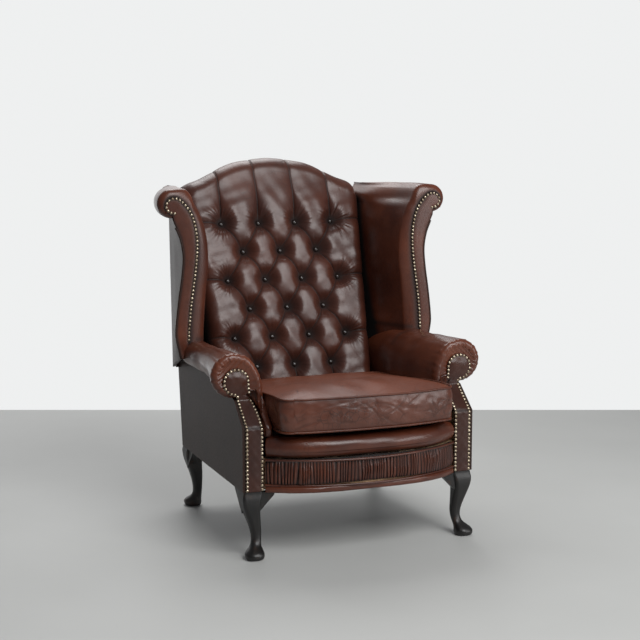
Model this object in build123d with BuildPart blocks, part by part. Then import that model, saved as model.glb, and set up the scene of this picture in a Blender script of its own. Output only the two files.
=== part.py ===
from build123d import *
import os
from math import asin, cos, degrees, radians, sin, sqrt

os.makedirs("parts", exist_ok=True)

# Wingback armchair with a buttoned camel back, scrolled wings and rolled arms.
# Millimetres, +Z up, the sitter faces -Y, origin on the floor under the middle of the chair.

# Levels above the floor
leg_height = 188.0
lower_edge_height = 184.0
rail_top_height = 276.5
deck_top_height = 339.6
cushion_base_height = 340.0
arm_roll_height = 498.0
arm_roll_radius = 66.0
neck_height = arm_roll_height - arm_roll_radius
kink_drop = 66.0
kink_height = neck_height - kink_drop
crest_height = 1070.0
wing_roll_drop = 113.0
wing_roll_height = crest_height - wing_roll_drop
shoulder_drop = 82.0
shoulder_height = crest_height - shoulder_drop

# Clearances
fit_gap = 0.3
soft_gap = 0.5
overrun = 20.0

# Seat plan
seat_half = 264.0
bow_half = 291.0
bow_rise = 85.0
bow_front = -453.0
bow_radius = (bow_half**2 + bow_rise**2) / (2 * bow_rise)
bow_centre_y = bow_front + bow_radius

# Arm facing seen from the side
panel_front = -361.0
scroll_front = -287.0
facing_thickness = 10.0
facing_inner = 293.0
facing_outer = 340.0

# Arm roll sections from the front to the wing
arm_pad_thickness = 28.0
arm_roll_x = 350.0
arm_neck_radius = 59.0
arm_neck_lift = 4.0
arm_neck_y = -248.0
arm_mid_radius = 46.0
arm_mid_lift = 14.0
arm_mid_y = -185.0
arm_waist_radius = 38.0
arm_waist_lift = 16.0
arm_waist_x = 353.0
arm_waist_y = -75.0
arm_tail_radius = 32.0
arm_tail_lift = 19.0
arm_tail_x = 357.0
arm_tail_y = 60.0
arm_end_radius = 28.0
arm_end_x = 328.0
arm_end_y = 226.0
arm_blend_rise = 8.0
arm_blend_height = neck_height + arm_blend_rise
arm_blend_lift = 1.5
arm_brow_x = 305.0
arm_brow_drop = 16.0
arm_lip_angle = 20.0
arm_under_angle = -35.0
arm_belly_shares = (0.22, 0.5)
arm_head_drop = 16.0
arm_head_height = arm_roll_height - arm_head_drop
arm_head_x = 345.0
arm_head_radius = 38.0

# Outside arm panels
side_front_half = 353.0
side_rear_half = 334.0
side_panel_thickness = 9.0

# Back seen from the side
back_face_base = -4.5
back_rake = 0.3619
back_lower_y = 262.0
arm_level_rise = 3.0
arm_level = neck_height + arm_level_rise
back_kink_y = 300.0
back_upper_y = 447.0
back_upper_height = 1045.0
outside_back_thickness = 8.0

# Back seen from the front
back_low_half = 255.5
back_shoulder_half = 298.0
back_base_height = 340.0
camel_half = 160.0
camel_drop = 30.0
camel_height = crest_height - camel_drop
shoulder_dip_drop = 63.0
shoulder_dip = crest_height - shoulder_dip_drop
shoulder_dip_x = 228.0
crest_pad = 30.0
crest_round = 14.0

# Buttons and puffs
button_pitch = 123.5
button_rows = 6
wide_row_count = 4
button_top_drop = 196.0
button_low_height = 442.0
button_top_height = crest_height - button_top_drop
button_row_pitch = (button_top_height - button_low_height) / (button_rows - 1)
button_radius = 9.0
button_height = 9.0
button_pit = 11.0
puff_height = 26.0
puff_inset = 2.0

# Wings
wing_face_y = 42.0
wing_base_rise = 2.0
wing_base = arm_roll_height + wing_base_rise
wing_inner_x = 300.0
wing_bow = 2.0
wing_roll_x = 421.0
wing_roll_radius = 43.0
wing_mid_y = 112.0
wing_mid_roll_x = 420.0
wing_mid_rise = 2.0
wing_mid_roll_height = wing_roll_height + wing_mid_rise
wing_mid_roll_radius = 41.0
wing_tail_roll_x = 322.0
wing_tail_rise = 11.0
wing_tail_roll_height = wing_roll_height + wing_tail_rise
wing_tail_roll_radius = 24.0
wing_head_x = 417.0
wing_head_drop = 7.0
wing_head_height = wing_roll_height - wing_head_drop
wing_head_radius = 27.0
wing_facing_thickness = 12.0
wing_skin = 8.0
wing_rear_low_half = 352.0
wing_rear_high_half = 320.0

# Beech frame
rail_thickness = 28.0
rail_bottom = 190.0
rail_outer = 322.0
post_thickness = 28.0
arm_post_inner = 303.0
arm_post_outer = 339.5
arm_post_depth = 49.0
arm_post_bend_drop = 46.0
arm_post_bend = kink_height - arm_post_bend_drop
arm_post_shoulder_rise = 14.0
arm_post_shoulder = kink_height + arm_post_shoulder_rise
arm_head_thickness = 30.0
arm_head_wood_radius = 30.0
arm_rail_height = 40.0
arm_rail_bottom = neck_height - arm_rail_height
back_post_inner = 285.0
back_post_depth = 50.0
back_post_drop = 115.0
back_post_top = crest_height - back_post_drop
crest_rail_thickness = 24.0
crest_rail_drop = 70.0
stay_bottom = 345.0
stay_height = 45.0
wing_post_width = 18.0
wing_post_depth = 24.0
wing_rail_width = 18.0
wing_rail_height = 26.0
wing_rail_drop = 32.0
wing_rail_bottom = wing_roll_height - wing_rail_drop
corner_block_size = 62.0
corner_block_height = 60.0
dowel_radius = 5.0
dowel_length = 50.0

# Bowed front
band_depth = 17.5
lower_band_height = 17.0
welt_radius = 3.5
gather_count = 56
gather_depth = 3.0
front_roll_radius = 30.0
front_roll_depth = 62.0

# Webbing, deck and covers
web_thickness = 2.0
web_width = 50.0
seat_webs_long = 5
seat_webs_cross = 5
back_webs = 5
cover_thickness = 1.6

# Loose seat cushion
cushion_rear_y = 88.0
cushion_corner = 40.0
cushion_low_welt = 358.0
cushion_high_welt = 450.0
cushion_crown_height = 477.0
cushion_swell = 6.0
cushion_crown_insets = (12.0, 42.0, 110.0)
cushion_crown_shares = (0.45, 0.85)
cushion_welt_radius = 3.0

# Legs
leg_front_x = 322.0
leg_front_y = -334.0
leg_rear_x = 306.0
leg_rear_y = 240.0
leg_width = 55.0
ear_length = 40.0
ear_height = 46.0
ear_thickness = 20.0
ear_setback = 3.0

# Shares that shape the legs, from the floor up
# Height as a share of the leg's height, width of the leg's width, corner of the section's width
leg_shares = (
    (0.0, 0.69, 0.47),
    (0.075, 0.97, 0.45),
    (0.125, 0.85, 0.46),
    (0.195, 0.56, 0.46),
    (0.29, 0.51, 0.44),
    (0.45, 0.60, 0.40),
    (0.65, 0.78, 0.30),
    (0.81, 0.93, 0.20),
    (0.90, 1.0, 0.14),
    (1.0, 0.96, 0.10),
)
# How far each section stands out from the middle of the leg's top, as shares of the leg's width
front_stance_shares = (
    (0.0, 0.58),
    (0.01, 0.64),
    (-0.03, 0.55),
    (-0.16, 0.30),
    (-0.23, 0.16),
    (-0.18, 0.13),
    (-0.02, 0.14),
    (0.07, 0.12),
    (0.05, 0.05),
    (0.0, 0.0),
)
rear_stance_shares = (
    (0.05, 0.05),
    (0.07, 0.07),
    (0.02, 0.02),
    (-0.11, -0.11),
    (-0.15, -0.15),
    (-0.13, -0.13),
    (-0.04, -0.04),
    (0.04, 0.04),
    (0.04, 0.04),
    (0.0, 0.0),
)
ear_shares = ((0.86, 0.24), (0.42, 0.62), (0.0, 1.0))
diagonal_share = sqrt(1 / 2)


def save(part, name):
    """Label a finished piece and write it to its own file."""
    part.label = name
    export_step(part, f"parts/{name}.step")


def bow_y(x, inset):
    """Depth of the bowed front at x, on the arc that lies inset behind its face."""
    return bow_centre_y - sqrt((bow_radius - inset) ** 2 - x**2)


def back_face_y(z):
    """Depth of the raked plane that carries the buttons, at height z."""
    return back_face_base + back_rake * z


def rear_y(z, inset=0.0):
    """Depth of the outside back at height z, inset from its face."""
    if z < arm_level:
        slope = (back_kink_y - back_lower_y) / (arm_level - leg_height)
    else:
        slope = (back_upper_y - back_kink_y) / (back_upper_height - arm_level)
    return back_kink_y + slope * (z - arm_level) - inset


def post_front_y(z):
    """Depth of the front face of the back posts at height z."""
    if z < arm_level:
        return rear_y(z, outside_back_thickness + fit_gap + back_post_depth)
    share = (z - arm_level) / (back_post_top - arm_level)
    low = rear_y(arm_level, outside_back_thickness + fit_gap + back_post_depth)
    high = back_face_y(back_post_top) + post_thickness + web_thickness
    return low + share * (high - low)


def raked_plane(slope, y_at_floor):
    """Plane that leans back by slope, its local y running up the slope."""
    return Plane(origin=(0, y_at_floor, 0), x_dir=(1, 0, 0), z_dir=(0, -1, slope))


def rise(slope):
    """Length along a leaning plane for each millimetre of height."""
    return sqrt(1 + slope**2)


def slab(points, plane, depth, both=False):
    """Solid made from a straight-sided outline on a plane."""
    with BuildPart() as piece:
        with BuildSketch(plane):
            with BuildLine():
                Polyline(*points, close=True)
            make_face()
        extrude(amount=depth, both=both)
    return piece.part


def mirrored(part):
    """The same piece on the other side of the chair."""
    return mirror(part, about=Plane.YZ)


def save_pair(part, name):
    """Write the right-hand piece and its mirror image."""
    save(part, f"{name}_right")
    save(mirrored(part), f"{name}_left")


def side_strip(points, half_from, half_to):
    """Solid with a side-view outline (y, z) between two distances from the middle."""
    plane = Plane(origin=(half_from, 0, 0), x_dir=(0, 1, 0), z_dir=(1, 0, 0))
    return slab(points, plane, half_to - half_from)


# Cabriole legs
def leg(x, y, side_y, stance_shares, front_ear_top):
    """Cabriole leg with its two ears, on the right side of the chair."""
    half = leg_width * leg_shares[-1][1] / 2
    inner = half - ear_thickness
    ear_middle = half - ear_setback - ear_thickness / 2
    with BuildPart() as piece:
        for (rise_share, width_share, corner_share), (out_share, along_share) in zip(leg_shares, stance_shares):
            width = leg_width * width_share
            middle = Plane(
                origin=(
                    x + leg_width * out_share,
                    y + side_y * leg_width * along_share,
                    leg_height * rise_share,
                )
            )
            with BuildSketch(middle):
                RectangleRounded(width, width, width * corner_share)
        loft()
        inward = ((x, y + side_y * ear_middle, front_ear_top), (-1, 0, 0), (0, 1, 0))
        along = ((x + ear_middle, y, leg_height), (0, -side_y, 0), (-side_y, 0, 0))
        for origin, reach_dir, normal in (inward, along):
            nose, bend, foot = [
                (half + out * ear_length, -down * ear_height) for out, down in ear_shares
            ]
            root = (inner, -ear_height - ear_thickness)
            with BuildSketch(Plane(origin=origin, x_dir=reach_dir, z_dir=normal)):
                with BuildLine():
                    Line((inner, 0), (half + ear_length, 0))
                    Line((half + ear_length, 0), nose)
                    ThreePointArc(nose, bend, foot)
                    Line(foot, root)
                    Line(root, (inner, 0))
                make_face()
            extrude(amount=ear_thickness / 2, both=True)
        with Locations((x, y, leg_height - dowel_length / 2)):
            Cylinder(
                dowel_radius + fit_gap,
                dowel_length / 2 + fit_gap,
                align=(Align.CENTER, Align.CENTER, Align.MIN),
                mode=Mode.SUBTRACT,
            )
    return piece.part


under_band = lower_edge_height - fit_gap
front_leg = leg(leg_front_x, leg_front_y, -1, front_stance_shares, under_band)
save_pair(front_leg, "leg_front")
rear_leg = leg(leg_rear_x, leg_rear_y, 1, rear_stance_shares, leg_height)
save_pair(rear_leg, "leg_rear")

with BuildPart() as leg_dowels:
    for x, y in (
        (leg_front_x, leg_front_y),
        (-leg_front_x, leg_front_y),
        (leg_rear_x, leg_rear_y),
        (-leg_rear_x, leg_rear_y),
    ):
        with Locations((x, y, leg_height - dowel_length / 2)):
            Cylinder(
                dowel_radius,
                dowel_length,
                align=(Align.CENTER, Align.CENTER, Align.MIN),
            )
save(leg_dowels.part, "leg_dowels")


def dowel_hole(x, y):
    """Cutter for the upper half of a leg dowel."""
    return Pos(x, y, leg_height) * Cylinder(
        dowel_radius + fit_gap,
        dowel_length + 2 * fit_gap,
    )


# Seat frame of beech rails
def bow_strip(half, front_inset, back_inset, bottom, height):
    """Board that follows the bowed front between two insets from its face."""
    with BuildPart() as piece:
        with BuildSketch(Plane.XY.offset(bottom)):
            with BuildLine():
                ThreePointArc(
                    (-half, bow_y(half, front_inset)),
                    (0, bow_y(0, front_inset)),
                    (half, bow_y(half, front_inset)),
                )
                Line((half, bow_y(half, front_inset)), (half, bow_y(half, back_inset)))
                ThreePointArc(
                    (half, bow_y(half, back_inset)),
                    (0, bow_y(0, back_inset)),
                    (-half, bow_y(half, back_inset)),
                )
                Line((-half, bow_y(half, back_inset)), (-half, bow_y(half, front_inset)))
            make_face()
        extrude(amount=height)
    return piece.part


rail_height = rail_top_height - rail_bottom
rail_front_inset = band_depth + soft_gap
front_rail_half = arm_post_inner - fit_gap
save(
    bow_strip(
        front_rail_half,
        rail_front_inset,
        rail_front_inset + rail_thickness,
        rail_bottom,
        rail_height,
    ),
    "front_rail",
)

arm_post_front = panel_front + facing_thickness + fit_gap
arm_post_rear = arm_post_front + arm_post_depth
arm_head_front = scroll_front + facing_thickness + fit_gap
arm_head_rear = arm_head_front + arm_head_thickness
back_rail_front = post_front_y(rail_top_height) + fit_gap
rail_inner = rail_outer - rail_thickness
with BuildPart() as side_rail:
    side_rail_front = arm_post_rear + fit_gap
    side_rail_rear = post_front_y(rail_bottom) - fit_gap
    with Locations(((rail_inner + rail_outer) / 2, (side_rail_front + side_rail_rear) / 2)):
        Box(
            rail_thickness,
            side_rail_rear - side_rail_front,
            rail_height,
            align=(Align.CENTER, Align.CENTER, Align.MIN),
        )
save_pair(side_rail.part.moved(Pos(0, 0, rail_bottom)), "side_rail")

with BuildPart() as back_rail:
    with Locations((0, back_rail_front, rail_bottom)):
        Box(
            2 * (back_post_inner - fit_gap),
            rail_thickness,
            rail_height,
            align=(Align.CENTER, Align.MIN, Align.MIN),
        )
save(back_rail.part, "back_rail")

block_side = rail_inner - fit_gap
block_inner = block_side - corner_block_size
front_block_y = bow_y(block_side, rail_front_inset + rail_thickness) + soft_gap
front_block = (
    (block_side, front_block_y + soft_gap),
    (block_side, front_block_y + corner_block_size),
    (block_inner, bow_y(block_inner, rail_front_inset + rail_thickness) + soft_gap),
)
rear_block_y = back_rail_front - fit_gap
rear_block = (
    (back_post_inner - fit_gap, rear_block_y),
    (back_post_inner - fit_gap, rear_block_y - corner_block_size),
    (back_post_inner - corner_block_size, rear_block_y),
)
with BuildPart() as corner_blocks:
    for outline in (front_block, rear_block):
        for side in (1, -1):
            with BuildSketch(Plane.XY.offset(rail_bottom + fit_gap)):
                with BuildLine():
                    Polyline(*[(side * x, y) for x, y in outline], close=True)
                make_face()
            extrude(amount=corner_block_height)
save(corner_blocks.part, "corner_blocks")

# Arm posts step back under the roll and end in a round head
post_bottom = leg_height + fit_gap
post_profile = (
    (arm_post_front, post_bottom),
    (arm_post_front, kink_height),
    (arm_head_front, neck_height),
    (arm_head_front, arm_head_height),
    (arm_head_rear, arm_head_height),
    (arm_head_rear, arm_post_shoulder),
    (arm_post_rear, arm_post_bend),
    (arm_post_rear, post_bottom),
)
head_plane = Plane(
    origin=(arm_head_x, arm_head_front, arm_head_height),
    x_dir=(1, 0, 0),
    z_dir=(0, -1, 0),
)


def arm_post_wood(grow=0.0):
    """Front stump of the arm, or the room that it needs when grown."""
    board = side_strip(post_profile, arm_post_inner - grow, arm_post_outer + grow)
    with BuildPart() as head:
        with BuildSketch(head_plane.offset(grow)):
            Circle(arm_head_wood_radius + grow)
        extrude(amount=-(arm_head_thickness + 2 * grow))
    if grow:
        tall = side_strip(
            (
                (arm_head_front - grow, neck_height - overrun),
                (arm_head_front - grow, arm_head_height),
                (arm_head_rear + grow, arm_head_height),
                (arm_head_rear + grow, neck_height - overrun),
            ),
            arm_post_inner - grow,
            arm_post_outer + grow,
        )
        return board + head.part + tall
    return board + head.part


arm_post = arm_post_wood() - dowel_hole(leg_front_x, leg_front_y)
save_pair(arm_post, "arm_post")

arm_rail_top = neck_height - fit_gap
arm_rail_front = arm_head_rear + fit_gap
arm_rail_rear = post_front_y(arm_rail_bottom) - fit_gap
arm_rail = side_strip(
    (
        (arm_rail_front, arm_rail_bottom),
        (arm_rail_front, arm_rail_top),
        (arm_rail_rear, arm_rail_top),
        (arm_rail_rear, arm_rail_bottom),
    ),
    rail_inner,
    rail_outer,
)
save_pair(arm_rail, "arm_rail")

# Back posts, sawn with a kick above the arms
back_inset = outside_back_thickness + fit_gap
back_post_outline = (
    (post_front_y(post_bottom), post_bottom),
    (post_front_y(arm_level), arm_level),
    (post_front_y(back_post_top), back_post_top),
    (rear_y(back_post_top, back_inset), back_post_top),
    (rear_y(arm_level, back_inset), arm_level),
    (rear_y(post_bottom, back_inset), post_bottom),
)
back_post_outer = back_post_inner + post_thickness
back_post = side_strip(back_post_outline, back_post_inner, back_post_outer)
save_pair(back_post - dowel_hole(leg_rear_x, leg_rear_y), "back_post")

stay_rear = rear_y(stay_bottom, back_inset)
back_stay = side_strip(
    (
        (stay_rear - rail_thickness, stay_bottom),
        (stay_rear - rail_thickness, stay_bottom + stay_height),
        (stay_rear, stay_bottom + stay_height),
        (stay_rear, stay_bottom),
    ),
    -back_post_inner + fit_gap,
    back_post_inner - fit_gap,
)
save(back_stay, "back_stay_rail")

# Upholstered arms: wall, roll and keyhole facing
arm_base = deck_top_height + fit_gap
# Depth, radius, distance from the middle and height of the roll at each station
arm_stations = (
    (panel_front, arm_roll_radius, arm_roll_x, arm_roll_height),
    (scroll_front, arm_roll_radius, arm_roll_x, arm_roll_height),
    (arm_neck_y, arm_neck_radius, arm_roll_x, arm_roll_height + arm_neck_lift),
    (arm_mid_y, arm_mid_radius, arm_roll_x, arm_roll_height + arm_mid_lift),
    (arm_waist_y, arm_waist_radius, arm_waist_x, arm_roll_height + arm_waist_lift),
    (arm_tail_y, arm_tail_radius, arm_tail_x, arm_roll_height + arm_tail_lift),
    (arm_end_y, arm_end_radius, arm_end_x, arm_roll_height + arm_tail_lift),
)


def arm_hull(grow=0.0):
    """Arm pad and roll from the front to the wing, grown for cutting its room."""
    with BuildPart() as piece:
        for y, radius, middle, level in arm_stations:
            reach = radius + grow
            top = level + radius
            if y > scroll_front:
                top = top + arm_blend_lift
            wall = seat_half - grow
            back_wall = seat_half + arm_pad_thickness + grow
            base = arm_base - grow
            blend = (wall, arm_blend_height)
            brow = (arm_brow_x - grow, top - arm_brow_drop + grow)
            lip = (
                middle + reach * cos(radians(arm_lip_angle)),
                level + reach * sin(radians(arm_lip_angle)),
            )
            under = (
                middle + reach * cos(radians(arm_under_angle)),
                level + reach * sin(radians(arm_under_angle)),
            )
            low = (middle, level - reach)
            tuck = (back_wall, neck_height - grow)
            section = Plane(origin=(0, y, 0), x_dir=(1, 0, 0), z_dir=(0, -1, 0))
            with BuildSketch(section):
                with BuildLine():
                    Line((wall, base), blend)
                    ThreePointArc(
                        blend,
                        (
                            wall + arm_belly_shares[0] * (brow[0] - wall),
                            blend[1] + arm_belly_shares[1] * (brow[1] - blend[1]),
                        ),
                        brow,
                    )
                    ThreePointArc(brow, (middle, top + grow), lip)
                    ThreePointArc(lip, under, low)
                    Line(low, tuck)
                    Line(tuck, (back_wall, base))
                    Line((back_wall, base), (wall, base))
                make_face()
        loft(ruled=True)
    return piece.part


with BuildPart() as arm_keyhole:
    with BuildSketch(head_plane.offset(overrun)):
        Circle(arm_head_radius + soft_gap)
        with BuildLine():
            Polyline(
                (facing_inner - arm_head_x - fit_gap, 0),
                (facing_outer - arm_head_x + soft_gap, 0),
                (facing_outer - arm_head_x + soft_gap, lower_edge_height - arm_head_height),
                (facing_inner - arm_head_x - fit_gap, lower_edge_height - arm_head_height),
                close=True,
            )
        make_face()
    extrude(amount=-overrun - facing_thickness)

arm_side_outline = (
    (panel_front + fit_gap, arm_base - overrun),
    (panel_front + fit_gap, kink_height),
    (scroll_front + fit_gap, neck_height),
    (scroll_front + fit_gap, crest_height),
    (arm_end_y, crest_height),
    (arm_end_y, arm_base - overrun),
)
arm_limit = side_strip(arm_side_outline, seat_half - overrun, wing_roll_x + overrun)
inside_arm = (arm_hull() & arm_limit) - arm_keyhole.part - arm_post_wood(fit_gap)

# Arm facing: bent panel with a round head
facing_bottom = leg_height + fit_gap
facing_side = (
    (panel_front, facing_bottom),
    (panel_front, kink_height),
    (scroll_front, neck_height),
    (scroll_front, crest_height),
    (scroll_front + facing_thickness, crest_height),
    (scroll_front + facing_thickness, neck_height),
    (panel_front + facing_thickness, kink_height),
    (panel_front + facing_thickness, facing_bottom),
)
with BuildPart() as arm_front:
    with BuildSketch(head_plane.offset(2 * arm_post_depth)):
        Circle(arm_head_radius)
        with BuildLine():
            Polyline(
                (facing_inner - arm_head_x, 0),
                (facing_outer - arm_head_x, 0),
                (facing_outer - arm_head_x, facing_bottom - arm_head_height),
                (facing_inner - arm_head_x, facing_bottom - arm_head_height),
                close=True,
            )
        make_face()
    extrude(amount=-4 * arm_post_depth)
facing_limit = side_strip(facing_side, seat_half, wing_roll_x)
save_pair(arm_front.part & facing_limit, "arm_front")

# Outside arm panels, flush with the facing and the outside back, up to the roll's underside
panel_top = arm_roll_height
panel_shelf = neck_height - fit_gap - soft_gap
panel_rear = rear_y(panel_shelf, outside_back_thickness + soft_gap)
side_front_y = panel_front + soft_gap
with BuildPart() as outside_arm:
    with BuildSketch(Plane.XY.offset(facing_bottom)):
        with BuildLine():
            Polyline(
                (side_front_half - side_panel_thickness, side_front_y),
                (side_front_half, side_front_y),
                (side_rear_half, back_kink_y),
                (side_rear_half - side_panel_thickness, back_kink_y),
                close=True,
            )
        make_face()
    extrude(amount=panel_top - facing_bottom)
outside_arm_limit = side_strip(
    (
        (side_front_y, facing_bottom),
        (side_front_y, kink_height),
        (scroll_front, neck_height),
        (scroll_front, panel_top),
        (panel_rear, panel_top),
        (panel_rear, panel_shelf),
        (rear_y(panel_shelf), panel_shelf),
        (rear_y(facing_bottom), facing_bottom),
    ),
    seat_half,
    wing_roll_x,
)
outside_arm_board = outside_arm.part & outside_arm_limit

# Wings: sections in shares of the wing's reach and rise above its base
wing_reach = wing_roll_x + wing_roll_radius - wing_inner_x
wing_rise = wing_roll_height + wing_roll_radius - wing_base
inner_shares = ((0.28, 0.0), (0.28, 0.13), (0.17, 0.40), (0.07, 0.65), (0.12, 0.78), (0.245, 0.87), (0.42, 0.96))
outer_shares = ((0.46, 0.80), (0.305, 0.70), (0.34, 0.48), (0.45, 0.30), (0.478, 0.0))


def wing_point(share):
    """Front-view point from shares of the wing's reach and rise."""
    return (wing_inner_x + wing_reach * share[0], wing_base + wing_rise * share[1])


def back_half(z):
    """Half width of the back pad at height z."""
    share = (z - back_base_height) / (shoulder_height - back_base_height)
    return back_low_half + share * (back_shoulder_half - back_low_half)


frame_slope = (post_front_y(back_post_top) - post_front_y(arm_level)) / (back_post_top - arm_level)
frame_base_y = post_front_y(arm_level) - frame_slope * arm_level
web_room = web_thickness + 2 * fit_gap
pad_rear_plane = raked_plane(frame_slope, frame_base_y - web_room)
wing_front_plane = Plane(origin=(0, wing_face_y, 0), x_dir=(1, 0, 0), z_dir=(0, -1, 0))


def wing_outline(plane, inner, roll_x, roll_z, radius, outer, scale):
    """Wing section: inner curve, scroll and nail-line side, heights scaled for a leaning plane."""
    at = [(x, z * scale) for x, z in inner]
    out = [(x, z * scale) for x, z in outer]
    top = (roll_x, (roll_z + radius) * scale)
    side = (roll_x + radius, roll_z * scale)
    low = (roll_x, (roll_z - radius) * scale)
    diagonal = radius * diagonal_share
    with BuildSketch(plane) as face:
        with BuildLine():
            Line(at[0], at[1])
            ThreePointArc(at[1], at[2], at[3])
            ThreePointArc(at[3], at[4], at[5])
            ThreePointArc(at[5], at[6], top)
            ThreePointArc(top, (roll_x + diagonal, (roll_z + diagonal) * scale), side)
            ThreePointArc(side, (roll_x + diagonal, (roll_z - diagonal) * scale), low)
            Line(low, out[0])
            ThreePointArc(out[0], out[1], out[2])
            Line(out[2], out[3])
            Line(out[3], out[4])
            Line(out[4], at[0])
        make_face()
    return face.sketch


rear_heights = [wing_point(share)[1] for share in inner_shares]
rear_bows = (0.0, 0.0, wing_bow, 0.0, wing_bow, 0.0, wing_bow)
wing_rear_inner = [(back_half(z) + soft_gap + bow, z) for z, bow in zip(rear_heights, rear_bows)]
outer_heights = [wing_point(share)[1] for share in outer_shares]
tail_low = wing_tail_roll_height - wing_tail_roll_radius
wing_rear_outer = [(wing_tail_roll_x - wing_bow, tail_low - 2 * wing_bow)]
for z, bow in zip(outer_heights[1:], (2 * wing_bow, 0.0, 0.0, 0.0)):
    wing_rear_outer.append((back_half(z) + arm_pad_thickness + bow, z))
wing_front_inner = [wing_point(share) for share in inner_shares]
wing_front_outer = [wing_point(share) for share in outer_shares]


def wing_between(front_line, rear_line):
    """Line where the straight surface between a front and a rear line crosses the middle section."""
    points = []
    for (front_x, front_z), (rear_x, rear_z) in zip(front_line, rear_line):
        rear_depth = frame_base_y - web_room + frame_slope * rear_z
        share = (wing_mid_y - wing_face_y) / (rear_depth - wing_face_y)
        points.append((front_x + share * (rear_x - front_x), front_z + share * (rear_z - front_z)))
    return points


wing_front_section = wing_outline(
    wing_front_plane,
    wing_front_inner,
    wing_roll_x,
    wing_roll_height,
    wing_roll_radius,
    wing_front_outer,
    1,
)
wing_mid_section = wing_outline(
    Plane(origin=(0, wing_mid_y, 0), x_dir=(1, 0, 0), z_dir=(0, -1, 0)),
    wing_between(wing_front_inner, wing_rear_inner),
    wing_mid_roll_x,
    wing_mid_roll_height,
    wing_mid_roll_radius,
    wing_between(wing_front_outer, wing_rear_outer),
    1,
)
wing_rear_section = wing_outline(
    pad_rear_plane,
    wing_rear_inner,
    wing_tail_roll_x,
    wing_tail_roll_height,
    wing_tail_roll_radius,
    wing_rear_outer,
    rise(frame_slope),
)
with BuildPart() as wing_hull:
    loft(sections=(wing_front_section, wing_mid_section, wing_rear_section), ruled=True)

# Wing facing with its round head
strip_outer_shares = (
    (0.62, 0.0),
    (0.69, 0.12),
    (0.707, 0.28),
    (0.60, 0.48),
    (0.525, 0.66),
    (0.555, 0.75),
    (0.63, 0.82),
)
strip_inner_shares = ((0.478, 0.0), (0.45, 0.30), (0.31, 0.60), (0.30, 0.70), (0.37, 0.84), (0.57, 0.93))


def wing_facing(grow, front, rear):
    """Facing strip of the wing between two depths."""
    with BuildPart() as piece:
        plane = Plane(origin=(0, rear, 0), x_dir=(1, 0, 0), z_dir=(0, -1, 0))
        outer_line = [wing_point(share) for share in strip_outer_shares]
        inner_line = [wing_point(share) for share in strip_inner_shares]
        outer = [(x + grow, z) for x, z in outer_line]
        inner = [(x - grow, z) for x, z in inner_line]
        with BuildSketch(plane) as face:
            with BuildLine():
                Line(inner[0], inner[1])
                ThreePointArc(inner[1], inner[2], inner[3])
                ThreePointArc(inner[3], inner[4], inner[5])
                Line(inner[5], outer[-1])
                ThreePointArc(outer[-1], outer[-2], outer[-3])
                Polyline(*outer[-3::-1])
                Line(outer[0], inner[0])
            make_face()
            with Locations((wing_head_x, wing_head_height)):
                Circle(wing_head_radius + grow)
        extrude(amount=rear - front)
    return piece.part


facing_rear = wing_face_y + wing_facing_thickness
arm_room = arm_hull(soft_gap)
save_pair(wing_facing(0, wing_face_y, facing_rear) - arm_room, "wing_front")

# Wing post and top rail inside the wing
post_shares = ((0.50, 0.20), (0.40, 0.48), (0.335, 0.69))
post_line = [(arm_post_inner, neck_height)]
post_line += [wing_point(share) for share in post_shares]
post_line.append((wing_roll_x - wing_tail_roll_radius, back_post_top))


def wing_post_wood(grow=0.0):
    """Sawn upright behind the wing facing."""
    left = [(x - grow, z) for x, z in post_line]
    right = [(x + wing_post_width + grow, z) for x, z in reversed(post_line)]
    depth = wing_post_depth + 2 * grow
    front = facing_rear + fit_gap - grow
    plane = Plane(origin=(0, front + depth, 0), x_dir=(1, 0, 0), z_dir=(0, -1, 0))
    return slab(left + right, plane, depth)


post_frame_plane = raked_plane(frame_slope, frame_base_y - fit_gap)
wing_rail_front_y = facing_rear + 2 * fit_gap + wing_post_depth
wing_rail_front_x = wing_roll_x - wing_tail_roll_radius - wing_rail_width / 4


def wing_rail_wood(grow=0.0):
    """Rail from the wing post back to the back post."""
    middle_z = wing_rail_bottom + wing_rail_height / 2
    rear_x = back_post_outer + wing_bow - wing_rail_width / 2
    front_y = wing_rail_front_y - grow
    with BuildPart() as piece:
        front = Plane(origin=(0, front_y, 0), x_dir=(1, 0, 0), z_dir=(0, -1, 0))
        with BuildSketch(front):
            with Locations((wing_rail_front_x, middle_z)):
                Rectangle(wing_rail_width + 2 * grow, wing_rail_height + 2 * grow)
        with BuildSketch(post_frame_plane):
            with Locations((rear_x + grow, middle_z * rise(frame_slope))):
                Rectangle(wing_rail_width + 2 * grow, wing_rail_height + 2 * grow)
        loft(ruled=True)
    return piece.part


save_pair(wing_post_wood(), "wing_post")
save_pair(wing_rail_wood(), "wing_rail")
save_pair(outside_arm_board - arm_room - wing_post_wood(soft_gap), "outside_arm")
wing_room = wing_post_wood(soft_gap) + wing_rail_wood(soft_gap)
facing_room = wing_facing(2 * soft_gap, wing_face_y - overrun, facing_rear + fit_gap)

# Outside wings: flared panels from the facing back to the outside back
wing_skin_front = facing_rear + fit_gap
rear_slope = (back_upper_y - back_kink_y) / (back_upper_height - arm_level)
rear_plane = raked_plane(rear_slope, back_kink_y - rear_slope * arm_level)
skin_low = neck_height + 2 * fit_gap


def wing_rear_half(z):
    """Half width over the outside wings at the back, at height z."""
    share = (z - skin_low) / (shoulder_height - skin_low)
    return wing_rear_low_half + share * (wing_rear_high_half - wing_rear_low_half)


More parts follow.
